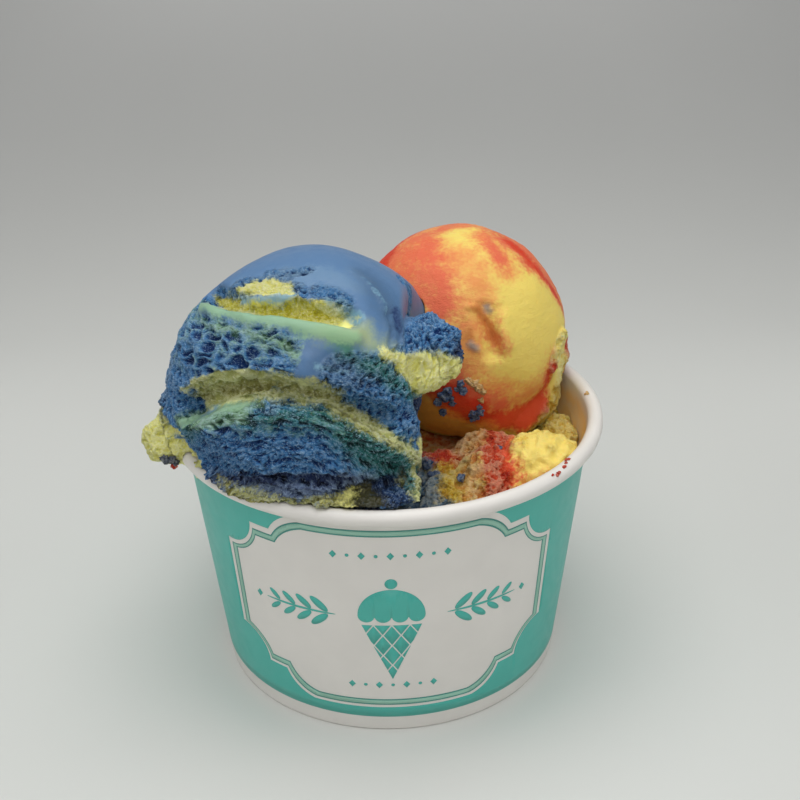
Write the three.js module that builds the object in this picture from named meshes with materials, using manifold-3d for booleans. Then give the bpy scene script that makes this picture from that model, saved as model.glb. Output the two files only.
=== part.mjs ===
// A cup of gelato: a paper tub with a rolled rim, ice cream filling it, a big blue scoop torn open at
// its front and leaning over the rim, and a smaller yellow scoop behind it.
//
// Millimetres, +Z up. The pieces are laid out round the cup's own axis, with the cup standing on Z = 0
// and its front towards -Y. The group is then moved sideways, so that the middle of the whole
// footprint is the origin.
//
// A direction on a scoop is a [longitude, latitude] in degrees seen from the scoop's middle:
// longitude 0 faces the front (-Y) and grows to the right (+X), latitude 90 faces up.

import * as THREE from 'three';
import { mergeVertices } from 'three/addons/utils/BufferGeometryUtils.js';
import Module from 'manifold-3d';

const wasm = await Module();
wasm.setup();

// ---------------------------------------------------------------- driving dimensions

// Paper cup
const CUP_HEIGHT = 60;
const RIM_RADIUS = 48; // outside of the rolled bead
const BEAD_RADIUS = 1.7; // of the bead's own section
const BASE_RADIUS = 38.7; // outside, where the cup stands
const PAPER = 0.6;
const HEM_HEIGHT = 6; // below the base disc the wall is folded in on itself
const HEM_THICKNESS = 1.4;
const ROUND_SIDES = 64;
const BEAD_STEPS = 8;

// Clearance left between pieces that touch
const GAP = 0.3;

// Ice cream in the cup: the level of its top, and how that dips and heaves
const FILL_LEVEL = 48.5;
const FILL_WAVE = 1.1;
const FILL_DIP = { x: 37, y: 1, reach: 15, depth: 6 };
const FILL_RINGS = 7;
const FILL_SIDES = 48;

// Lumps that stand up out of the fill, each [x, y, z] of its middle and its half sizes
const LUMPS = [
  { centre: [32, -19, 51.5], half: [10.5, 10, 9.5] },
  { centre: [21.5, -23, 49.5], half: [8, 10, 9] },
  { centre: [13, -28, 46], half: [9.5, 11, 9] },
  { centre: [4, -30, 43], half: [9, 9, 9] },
  { centre: [35, 15, 43], half: [8, 10, 8] },
];

// Blue scoop
const BLUE = { centre: [-15.4, -12.5, 69.6], radius: 30.6 };

// What shapes its surface. Each form follows a line of directions: it is full height (or depth, where
// negative) over the core share of its reach, and has run out at its reach, all in millimetres.
const BLUE_FORMS = [
  // Flatter shoulder behind the left top
  { line: [[-122, 47]], reach: 15, core: 0, height: -1.6 },
  // Gash across the dome with a lip under it
  { line: [[-72, 50.5], [-22, 54.5], [22, 48.5]], reach: 2.9, core: 0.35, height: -3.2 },
  { line: [[-77, 44], [-13, 46.5], [26, 40]], reach: 2.6, core: 0.2, height: 0.9 },
  { line: [[-42, 58], [-18, 61], [8, 57]], reach: 1.6, core: 0.3, height: 1 },
  // Long crevice over the lower lobe
  { line: [[-56, 9], [-38, 21], [-18, 26.5], [6, 22.5], [30, 11]], reach: 4.2, core: 0.3, height: -4.6 },
  // Lower lobe and its raised upper edge
  { line: [[-35, -8], [-8, -2], [22, -10]], reach: 14, core: 0.3, height: 1.6 },
  { line: [[-55, -3], [-36, 10], [-15, 17.5], [6, 15.5], [24, 7], [42, -11]], reach: 3, core: 0.2, height: 1.5 },
  { line: [[-34, -13], [-12, -13], [9, -11]], reach: 1.9, core: 0.1, height: -2 },
  // The right side is torn away below the flap, down to the lobe
  { line: [[70, 14], [72, -8], [76, -26]], reach: 15, core: 0.35, height: -7.5 },
  // A strip pushed out down the left side
  { line: [[-80, 26], [-84, 8]], reach: 7, core: 0.2, height: 0.8 },
  { line: [[-84, 0], [-80, -12]], reach: 8, core: 0.2, height: 2.3 },
];

// Torn, craggy part of the blue scoop, as lines with the same reach and core
const BLUE_TORN = [
  { line: [[-75, 34], [-45, 36], [-20, 34]], reach: 11, core: 0.7, height: 1 },
  { line: [[-60, 8], [-30, 8], [10, 8], [40, 8]], reach: 20, core: 0.8, height: 1 },
];
const CRAG_SIZE = 0.7;

// Flap of ice cream dragged up on its right, and the blob squeezed out over the rim on its left
const FLAP = { centre: [6.4, -23.6, 83.6], half: [8.8, 5.6, 6.6], turn: 28, square: 3.2 };
const BLOB = { centre: [-45.6, -12.2, 61], half: [6.6, 8.4, 5.4], turn: -12, square: 2.3 };

// Yellow scoop, with a dent in its front and a ragged collar round its lower right
const YELLOW = { centre: [17, 16, 70.5], radius: 24.3 };
const YELLOW_FORMS = [
  { line: [[16, 27], [9, 18], [12, 10]], reach: 3, core: 0.2, height: -1.4 },
  { line: [[22, 26], [17, 14]], reach: 2.2, core: 0.2, height: 0.7 },
  { line: [[98, 0], [86, -14], [69, -33], [44, -42]], reach: 5, core: 0.35, height: 2.2 },
  { line: [[30, -50], [90, -48], [150, -45]], reach: 10, core: 0.4, height: 2 },
];
const YELLOW_TORN = [
  { line: [[100, 0], [86, -16], [68, -36], [30, -48], [-20, -46]], reach: 8, core: 0.5, height: 1 },
];

// Crumbs of blue ice cream stuck to the yellow one: [longitude, latitude, size] on the scoop, and
// [x, y, size] on the lumps
const YELLOW_CRUMBS = [
  [-10.6, -12.1, 3.2], [-14.6, -16.5, 2.4], [-12.3, -23.8, 2.6], [-8, -13.3, 2.2], [-0.7, -8.7, 2.6],
  [-2.8, -4.4, 2.2], [5.7, -27.9, 3], [8.2, -24, 2.6], [4.9, 14.2, 1.8], [16.1, 33, 1.8],
  [1.8, -2.8, 2.2], [6.5, -7.2, 3], [8.7, -9.9, 2],
];
const LUMP_CRUMBS = [[23.3, -18, 2], [11.5, -21.5, 3], [15, -26, 2.2]];

// How finely each is divided: a ball has 20 x (detail + 1) squared triangles
const BLUE_DETAIL = 12;
const YELLOW_DETAIL = 9;
const LUMP_DETAIL = 3;

// ---------------------------------------------------------------- the cup's wall

const BEAD_CENTRE = RIM_RADIUS - BEAD_RADIUS;
const BEAD_HEIGHT = CUP_HEIGHT - BEAD_RADIUS;
const WALL_TOP_RADIUS = BEAD_CENTRE - BEAD_RADIUS + PAPER;
const DISC_BOTTOM = HEM_HEIGHT + GAP;
const DISC_TOP = DISC_BOTTOM + PAPER;
const FILL_BOTTOM = DISC_TOP + GAP;

const outerWall = (z) => THREE.MathUtils.mapLinear(z, 0, BEAD_HEIGHT, BASE_RADIUS, WALL_TOP_RADIUS);
const innerWall = (z) => outerWall(z) - PAPER;

// ---------------------------------------------------------------- solids

// A closed geometry as a solid, with its shared corners merged and its empty triangles dropped.
function solidOf(geometry) {
  const bare = geometry.clone();
  bare.deleteAttribute('normal');
  bare.deleteAttribute('uv');
  const merged = mergeVertices(bare, 1e-3);
  const corners = [];
  for (let i = 0; i < merged.index.count; i += 3) {
    const [a, b, c] = [0, 1, 2].map((k) => merged.index.getX(i + k));
    if (a !== b && b !== c && c !== a) corners.push(a, b, c);
  }
  const vertProperties = merged.attributes.position.array;
  return new wasm.Manifold(new wasm.Mesh({ numProp: 3, vertProperties, triVerts: new Uint32Array(corners) }));
}

// A solid as a geometry to draw.
function geometryOf(solid) {
  const { vertProperties, triVerts } = solid.getMesh();
  const geometry = new THREE.BufferGeometry();
  geometry.setAttribute('position', new THREE.BufferAttribute(vertProperties, 3));
  geometry.setIndex(new THREE.BufferAttribute(triVerts, 1));
  geometry.computeVertexNormals();
  return geometry;
}

// Several solids joined into one.
const joined = (solids) => solids.reduce((whole, solid) => whole.add(solid));

// The largest of the bodies that a cut leaves, without the scraps.
const largest = (solid) => solid.decompose().reduce((a, b) => (a.volume() > b.volume() ? a : b));

// An outline of [radius, height] corners, counterclockwise, spun round the cup's axis.
function spun(outline) {
  const corners = outline.map(([radius, height]) => new THREE.Vector2(radius, height));
  return solidOf(new THREE.LatheGeometry([...corners, corners[0]], ROUND_SIDES).rotateX(Math.PI / 2));
}

// ---------------------------------------------------------------- relief

const direction = ([longitude, latitude]) =>
  new THREE.Vector3().setFromSphericalCoords(
    1,
    THREE.MathUtils.degToRad(90 - latitude),
    THREE.MathUtils.degToRad(longitude),
  );

// setFromSphericalCoords has Y up and longitude 0 along +Z: this turns it to Z up and front at -Y.
const upright = (v) => new THREE.Vector3(v.x, -v.z, v.y);

// A form with its line cut into short straight pieces on a ball of radius 1.
function traced(form) {
  const steps = 6;
  const stops = [];
  form.line.forEach((point, i) => {
    const next = form.line[i + 1] ?? point;
    for (let k = 0; k < steps; k += 1) {
      const share = k / steps;
      stops.push(upright(direction(point.map((value, j) => THREE.MathUtils.lerp(value, next[j], share)))));
    }
  });
  const pieces = stops.slice(1).map((stop, i) => new THREE.Line3(stops[i], stop));
  return { ...form, pieces };
}

// How much of a form is felt at a unit direction: 1 on its core, 0 past its reach.
function share(form, unit, radius) {
  const nearest = new THREE.Vector3();
  const ways = form.pieces.map((piece) => piece.closestPointToPoint(unit, true, nearest).distanceTo(unit));
  return 1 - THREE.MathUtils.smoothstep(Math.min(...ways) * radius, form.reach * form.core, form.reach);
}

const felt = (forms, unit, radius) =>
  forms.reduce((sum, form) => sum + form.height * share(form, unit, radius), 0);

// Slow unevenness of scooped ice cream, and the sharper crags where it is torn.
const uneven = ({ x, y, z }) =>
  0.3 * Math.sin(5 * x + 3 * z) * Math.sin(4 * y - 2 * z + 1) + 0.2 * Math.sin(9 * x + 2 * y) * Math.sin(8 * z);
const craggy = ({ x, y, z }) => Math.sin(13 * x + 4 * z + 2) * Math.sin(29 * z + 3 * x) + 0.5 * Math.sin(23 * x - 9 * y);

// A ball of three.js triangles with each corner moved by a rule from its unit direction to its place.
function moulded(detail, place) {
  const geometry = new THREE.IcosahedronGeometry(1, detail);
  const position = geometry.getAttribute('position');
  const unit = new THREE.Vector3();
  for (let i = 0; i < position.count; i += 1) {
    unit.fromBufferAttribute(position, i).normalize();
    const at = place(unit);
    position.setXYZ(i, at.x, at.y, at.z);
  }
  return solidOf(geometry);
}

// A scoop: a ball with its forms, its torn part and its unevenness. grow makes it larger all round.
function scoop({ centre, radius }, forms, torn, detail, grow) {
  const tracedForms = forms.map(traced);
  const tracedTorn = torn.map(traced);
  const middle = new THREE.Vector3(...centre);
  return moulded(detail, (unit) => {
    const crags = CRAG_SIZE * craggy(unit) * Math.min(1, felt(tracedTorn, unit, radius));
    const out = radius + grow + uneven(unit) + crags + felt(tracedForms, unit, radius);
    return unit.clone().multiplyScalar(out).add(middle);
  });
}

// A lump: a rounded block of three half sizes, turned about Z. square 2 is an egg, more is boxier.
function lump({ centre, half, turn = 0, square = 2 }, detail, grow) {
  const middle = new THREE.Vector3(...centre);
  const about = new THREE.Vector3(0, 0, 1);
  return moulded(detail, (unit) => {
    const bulk = unit.toArray().reduce((sum, value) => sum + Math.abs(value) ** square, 0) ** (-1 / square);
    const at = unit.clone().multiplyScalar(bulk * (1 + 0.06 * craggy(unit)));
    at.multiply(new THREE.Vector3(...half.map((value) => value + grow)));
    return at.applyAxisAngle(about, THREE.MathUtils.degToRad(turn)).add(middle);
  });
}

// A crumb of a given size, stuck on at a point.
const crumb = (at, size) => moulded(0, (unit) => unit.clone().multiplyScalar((size / 2) * (1 + 0.12 * craggy(unit))).add(at));

// ---------------------------------------------------------------- the cup

// The rolled bead's section from one angle to another, in degrees from outward, with its radius grown.
function beadArc(from, to, grow = 0) {
  const points = [];
  for (let i = 0; i <= BEAD_STEPS; i += 1) {
    const angle = THREE.MathUtils.degToRad(THREE.MathUtils.lerp(from, to, i / BEAD_STEPS));
    const reach = BEAD_RADIUS + grow;
    points.push([BEAD_CENTRE + reach * Math.cos(angle), BEAD_HEIGHT + reach * Math.sin(angle)]);
  }
  return points;
}

// The wall with its rolled bead above and its folded hem below, grown all round by a clearance.
function wallOutline(grow = 0) {
  const under = Math.acos((BEAD_CENTRE - WALL_TOP_RADIUS - grow) / (BEAD_RADIUS + grow));
  const meeting = THREE.MathUtils.radToDeg(under) - 180; // where the bead's underside meets the wall
  return [
    [BASE_RADIUS + grow, -grow],
    ...beadArc(meeting, 180, grow),
    [innerWall(HEM_HEIGHT) - grow, HEM_HEIGHT + grow],
    [outerWall(HEM_HEIGHT) - HEM_THICKNESS - grow, HEM_HEIGHT + grow],
    [outerWall(0) - HEM_THICKNESS - grow, -grow],
  ];
}

function cupWall() {
  return spun(wallOutline());
}

function cupBase() {
  const outside = innerWall(DISC_BOTTOM) - GAP;
  return spun([[0, DISC_BOTTOM], [outside, DISC_BOTTOM], [outside, DISC_TOP], [0, DISC_TOP]]);
}

// Everything that ice cream in the cup must keep clear of: the wall and bead, and above the bead
// the room outside a steep cone, so that what stands over the rim leans on it and doesn't hang past it.
function outOfBounds() {
  const far = 90;
  const coneTop = 40;
  const leanOut = 0.42;
  const inside = beadArc(180, 100, GAP).reverse();
  const [coneFoot, coneBase] = inside[0];
  return spun([
    [far, -far],
    [far, coneBase + coneTop],
    [coneFoot + coneTop * leanOut, coneBase + coneTop],
    ...inside,
    [innerWall(0) - GAP, 0],
    [innerWall(0) - GAP, -far],
  ]);
}

// ---------------------------------------------------------------- the ice cream

const fillTop = (x, y) => {
  const dip = 1 - THREE.MathUtils.smoothstep(Math.hypot(x - FILL_DIP.x, y - FILL_DIP.y), 0, FILL_DIP.reach);
  const waves = Math.sin(0.21 * x + 1) * Math.sin(0.17 * y) + 0.5 * Math.sin(0.45 * x - 0.31 * y);
  return FILL_LEVEL + FILL_WAVE * waves - FILL_DIP.depth * dip;
};

// The fill, from the base disc up to its uneven top.
function fillBody() {
  const foot = innerWall(FILL_BOTTOM) - GAP;
  const brim = innerWall(FILL_LEVEL - FILL_DIP.depth) - GAP;
  const outline = [new THREE.Vector2(0, FILL_BOTTOM), new THREE.Vector2(foot, FILL_BOTTOM)];
  for (let ring = FILL_RINGS; ring >= 0; ring -= 1) {
    outline.push(new THREE.Vector2((brim * ring) / FILL_RINGS, FILL_LEVEL));
  }
  const geometry = new THREE.LatheGeometry(outline, FILL_SIDES).rotateX(Math.PI / 2);
  const position = geometry.getAttribute('position');
  for (let i = 0; i < position.count; i += 1) {
    if (position.getZ(i) > FILL_BOTTOM + 1) position.setZ(i, fillTop(position.getX(i), position.getY(i)));
  }
  return solidOf(geometry);
}

const kept = outOfBounds();
const wallRoom = spun(wallOutline(GAP));

function blueScoop(grow = 0) {
  const body = scoop(BLUE, BLUE_FORMS, BLUE_TORN, BLUE_DETAIL, grow).subtract(kept);
  const flap = lump(FLAP, LUMP_DETAIL, grow);
  const blob = lump(BLOB, LUMP_DETAIL, grow).subtract(wallRoom);
  return largest(joined([body, flap, blob]));
}

function crumbOnYellow([longitude, latitude, size]) {
  const at = upright(direction([longitude, latitude]));
  at.multiplyScalar(YELLOW.radius + 0.15 * size).add(new THREE.Vector3(...YELLOW.centre));
  return crumb(at, size);
}

function yellowScoop(grow = 0) {
  const body = scoop(YELLOW, YELLOW_FORMS, YELLOW_TORN, YELLOW_DETAIL, grow);
  const crumbs = grow > 0 ? [] : YELLOW_CRUMBS.map(crumbOnYellow);
  return joined([body, ...crumbs]).subtract(kept);
}

// The height of the lumps' surface over a point.
function lumpTop(x, y) {
  const heights = LUMPS.map(({ centre, half }) => {
    const across = Math.hypot((x - centre[0]) / half[0], (y - centre[1]) / half[1]);
    return centre[2] + half[2] * Math.sqrt(Math.max(0, 1 - across ** 2));
  });
  return Math.max(...heights);
}

function lowerIceCream() {
  const lumps = LUMPS.map((form) => lump(form, LUMP_DETAIL, 0));
  const crumbs = LUMP_CRUMBS.map(([x, y, size]) => crumb(new THREE.Vector3(x, y, lumpTop(x, y)), size));
  return joined([fillBody(), ...lumps, ...crumbs]).subtract(kept);
}

// ---------------------------------------------------------------- the whole

function piece(name, solid, color, roughness) {
  const material = new THREE.MeshStandardMaterial({ color, roughness, metalness: 0 });
  const mesh = new THREE.Mesh(geometryOf(solid), material);
  mesh.name = name;
  return mesh;
}

const blueRoom = blueScoop(GAP);
const yellow = largest(yellowScoop().subtract(blueRoom));
const lower = largest(lowerIceCream().subtract(blueRoom).subtract(yellowScoop(GAP)));

const gelatoCup = new THREE.Group();
gelatoCup.add(
  piece('cup_wall', cupWall(), 0x4fa396, 0.55),
  piece('cup_base', cupBase(), 0xe9e5df, 0.6),
  piece('lower_ice_cream', lower, 0xe6cd62, 0.45),
  piece('scoop_yellow', yellow, 0xe9bd62, 0.4),
  piece('scoop_blue', blueScoop(), 0x4f7fb5, 0.4),
);

// The middle of the whole footprint becomes the origin.
const middle = new THREE.Box3().setFromObject(gelatoCup).getCenter(new THREE.Vector3());
gelatoCup.position.set(-middle.x, -middle.y, 0);

export default gelatoCup;
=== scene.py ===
"""A cup of gelato: a printed paper tub with ice cream in it, a torn blue scoop that leans over the front
rim, and a smaller yellow scoop behind.

Shapes are worked out in millimetres round the cup's own axis, with the cup standing on z = 0 and its front
towards -Y, and are then placed in the row frame, which is in metres. A direction on a scoop is a longitude
and a latitude in degrees, seen from the scoop's middle: longitude 0 faces the front and grows to the right,
latitude 90 faces up.
"""

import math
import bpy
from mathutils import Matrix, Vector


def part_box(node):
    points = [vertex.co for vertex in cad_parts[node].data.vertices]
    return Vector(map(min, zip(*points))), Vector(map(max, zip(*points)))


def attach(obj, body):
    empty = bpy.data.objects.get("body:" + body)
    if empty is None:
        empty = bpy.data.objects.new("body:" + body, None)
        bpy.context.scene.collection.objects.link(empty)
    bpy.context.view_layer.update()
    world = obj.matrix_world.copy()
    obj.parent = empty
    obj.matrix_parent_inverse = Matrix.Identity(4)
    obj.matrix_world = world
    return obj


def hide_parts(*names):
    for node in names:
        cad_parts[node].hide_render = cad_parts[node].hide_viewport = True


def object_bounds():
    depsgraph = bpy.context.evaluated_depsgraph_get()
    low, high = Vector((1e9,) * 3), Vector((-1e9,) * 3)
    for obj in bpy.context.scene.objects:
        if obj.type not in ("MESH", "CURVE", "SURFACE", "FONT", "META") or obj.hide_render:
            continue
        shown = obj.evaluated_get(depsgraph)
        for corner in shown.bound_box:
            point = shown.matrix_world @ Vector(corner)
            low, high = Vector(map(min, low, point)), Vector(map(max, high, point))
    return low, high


bl_info = {
    "name": "Gelato Cup",
    "version": (1, 0, 0),
    "blender": (4, 5, 0),
    "location": "View3D > Sidebar > Gelato",
    "description": "Builds a printed paper tub of gelato with a torn blue scoop and a yellow scoop",
    "category": "Object",
}

import bmesh
import bpy
import numpy as np
from bpy.props import FloatProperty, FloatVectorProperty, IntProperty, PointerProperty
from mathutils import Euler, Matrix, Vector, noise

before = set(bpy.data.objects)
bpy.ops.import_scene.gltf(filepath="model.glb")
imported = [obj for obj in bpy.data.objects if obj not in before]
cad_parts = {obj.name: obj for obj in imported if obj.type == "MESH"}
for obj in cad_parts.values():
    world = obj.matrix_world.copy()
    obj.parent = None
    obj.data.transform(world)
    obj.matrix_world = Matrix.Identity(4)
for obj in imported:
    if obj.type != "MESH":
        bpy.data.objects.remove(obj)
cad_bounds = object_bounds()

MM = 0.001
# In millimetres: corners this near to each other are one, and those this near to a cut lie on it
SAME_PLACE, ON_CUT = 1e-4, 1e-5
# What a distance that is divided by is at least
TINY = 1e-6
# The depth that a point far outside a colour has, in millimetres
FAR_OUT = -8.0
WALL_LOW, WALL_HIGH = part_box("cup_wall")
AXIS = Vector(((WALL_LOW.x + WALL_HIGH.x) / 2, (WALL_LOW.y + WALL_HIGH.y) / 2, 0))
CUP_HEIGHT = WALL_HIGH.z / MM
# The bead, and the ice cream that hangs over it at the left, stay a hair inside the solids' box
RIM_RADIUS = (WALL_HIGH.x - WALL_LOW.x) / 2 / MM - 0.01
LEFT_LIMIT = (cad_bounds[0][0] - AXIS.x) / MM + 0.03
FILL_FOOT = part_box("lower_ice_cream")[0].z / MM

# ---------------------------------------------------------------- what each scoop's surface does

BLUE_CENTRE = np.array((-15.4, -12.5, 69.6))
BLUE_RADIUS = 30.6
# Lines of directions that several tables follow: a thin strip that is left above the gash, and a fold that
# runs down the right of the dome
STRIP = [(-55, 57.4), (-34, 59.9), (-19, 61.4), (-8, 62.3)]
FOLD = [(56, 70), (58, 63), (55, 55), (50, 48), (44, 41)]
# A form follows a line of directions: (line, reach, core, height). It is full height over the core share
# of its reach and has run out at its reach, all in millimetres. A negative height is a hollow.
BLUE_FORMS = [
    ([(-122, 47)], 15, 0, -1.6),
    ([(-84, 50), (-74, 52.4), (-45, 56), (-20, 57.8), (0, 56.6), (15, 54.2), (27, 51)], 2.9, 0.4, -2.5),
    ([(-75, 45), (-58, 49), (-40, 51.2), (-19, 51.8), (0, 49.6), (15, 46.8), (26, 43.5)], 2.6, 0.2, 0.9),
    ([(-42, 58.4), (-18, 61.2), (-6, 62)], 1.6, 0.3, 1),
    ([(-56, 9), (-38, 21), (-18, 26.5), (6, 22.5), (30, 11)], 4.2, 0.3, -4.6),
    ([(-35, -8), (-8, -2), (22, -10)], 14, 0.3, 1.6),
    ([(-55, -3), (-36, 10), (-15, 17.5), (6, 15.5), (24, 7), (42, -11)], 3, 0.2, 1.5),
    ([(-42, -16), (-31, -13.5), (-18, -9), (-8, -6.5), (5, -7), (14, -9)], 1.8, 0.1, -2.4),
    ([(80, 14), (83, -8), (86, -26)], 20, 0.5, -7.5),
    ([(-80, 26), (-84, 8)], 7, 0.2, 0.1),
    ([(-84, -6), (-80, -14)], 7, 0.2, 2.2),
]
# Finer relief, which only the finished surface has
BLUE_FINE_FORMS = [
    (STRIP, 1.2, 0.3, 0.9),
    (FOLD, 0.8, 0.2, 0.3),
    ([(-6, 42)], 1.2, 0.3, -1.6),
    ([(52, 46), (50, 41), (44, 36)], 2.2, 0.2, -1.6),
    ([(-54, 10), (-44, 14.5), (-35, 18.5), (-27, 22), (-17, 24)], 1.4, 0.2, 0.8),
    ([(-15, 26), (-12, 21)], 1.4, 0.3, 1.6),
]
# Where the scoop is torn, as forms: a sum of 1 is wholly torn, and a negative height keeps a part smooth
BLUE_TORN = [
    ([(-78, 33), (-60, 37), (-45, 39), (-22, 38)], 10, 0.72, 1),
    ([(-66, 8), (-30, 10), (10, 10), (44, 6)], 17, 0.86, 1),
    ([(-40, -14), (0, -14), (40, -14), (60, -4)], 12, 0.8, 1),
    ([(20, 26), (36, 22), (52, 12)], 9, 0.7, 1),
    ([(-78, 22), (-80, 4), (-78, -10)], 8, 0.7, 1),
    ([(70, 14), (72, -8)], 16, 0.8, 1),
    ([(-59, 61), (-44, 65), (-24, 66.4), (-11, 64.4)], 3.5, 0.75, 1),
    ([(12, 65), (22, 62), (28, 58)], 2.4, 0.5, 0.8),
    ([(-84, 50.4), (-72, 53), (-45, 56.4), (-20, 58.2), (0, 57.2), (26, 52)], 2.6, 0.75, 0.95),
    ([(-52, 73), (-26, 76), (0, 77)], 2.2, 0.3, 0.9),
    ([(96, 50), (92, 42), (90, 36)], 3, 0.4, 0.9),
    ([(184, -24), (222, -22), (262, -18)], 7, 0.5, 1),
    ([(2, 38), (14, 37), (24, 39), (34, 44)], 7, 0.55, -1.3),
    ([(-74, 45.4), (-60, 48.8), (-40, 51.2), (-19, 51.6), (0, 49.4), (14, 46.8)], 2.4, 0.5, -0.9),
    ([(-60, 1), (-50, 8.5), (-38, 15.5), (-26, 19.5)], 1.5, 0.4, -0.8),
    ([(-54, 57.4), (-34, 59.9), (-19, 61.4), (-8, 62.3)], 1.1, 0.5, -2),
    ([(-6, 42)], 1.8, 0.6, 2.2),
]
# The widest tears, which are craggy as well
BLUE_CRAGGY = BLUE_TORN[:3]
# Parts of the torn surface whose holes are large
BLUE_HOLED = [
    ([(-78, 33), (-60, 37), (-45, 40), (-20, 42)], 9, 0.7, 1),
    ([(-40, 13), (-26, 15)], 5, 0.6, 1),
    ([(-20, 14), (10, 14)], 3.5, 0.4, 0.7),
]
# Towards the camera: the finest skin is kept for what faces it
FRONT = np.array((0.05, -0.9, 0.43))
# The scoop's foot lies on the rolled rim: (angle round the cup, how far out it reaches)
FOOT_ON_RIM = [
    (-54, 47.8), (-48, 48.8), (-42, 49.6), (-36, 49.8), (-30, 49.4), (-24, 48.6), (-18, 47.6), (-12, 46.9),
    (-6, 46.5), (0, 46.3), (4, 45.6), (-61, 47),
]
# What else sticks to the scoop, as lumps: the flap at its right, which leans back by a share of its height,
# the blob squeezed over the rim and the heel at the foot's right end
FLAP = {
    "middle": (6.4, -23.6, 82.5), "halves": (8.8, 5.6, 6.3), "divisions": 6, "turn": 28, "square": 3.2,
    "ragged": 1.2,
}
FLAP_LEAN = 0.42
BLOB = {
    "middle": (-45.4, -14.6, 60.2), "halves": (6.6, 6.6, 4.8), "divisions": 6, "turn": -14, "square": 2.2,
    "ragged": 1.5, "seed": 4,
}
HEEL = {
    "middle": (3.4, -37.2, 61.2), "halves": (2.9, 3.8, 4), "divisions": 5, "turn": 10, "square": 2.2,
    "ragged": 0.8, "seed": 2,
}
# The lower lobe's edge along the crevice, and the lower lip of the gash: the tear is drawn along them
LOBE_EDGE = [(-60, 0), (-44, 12), (-27, 20), (-7, 22), (10, 20), (24, 10), (40, -6), (50, -26)]
GASH_LIP = [(-82, 46), (-47, 53), (-12, 54), (26, 49)]

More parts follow.
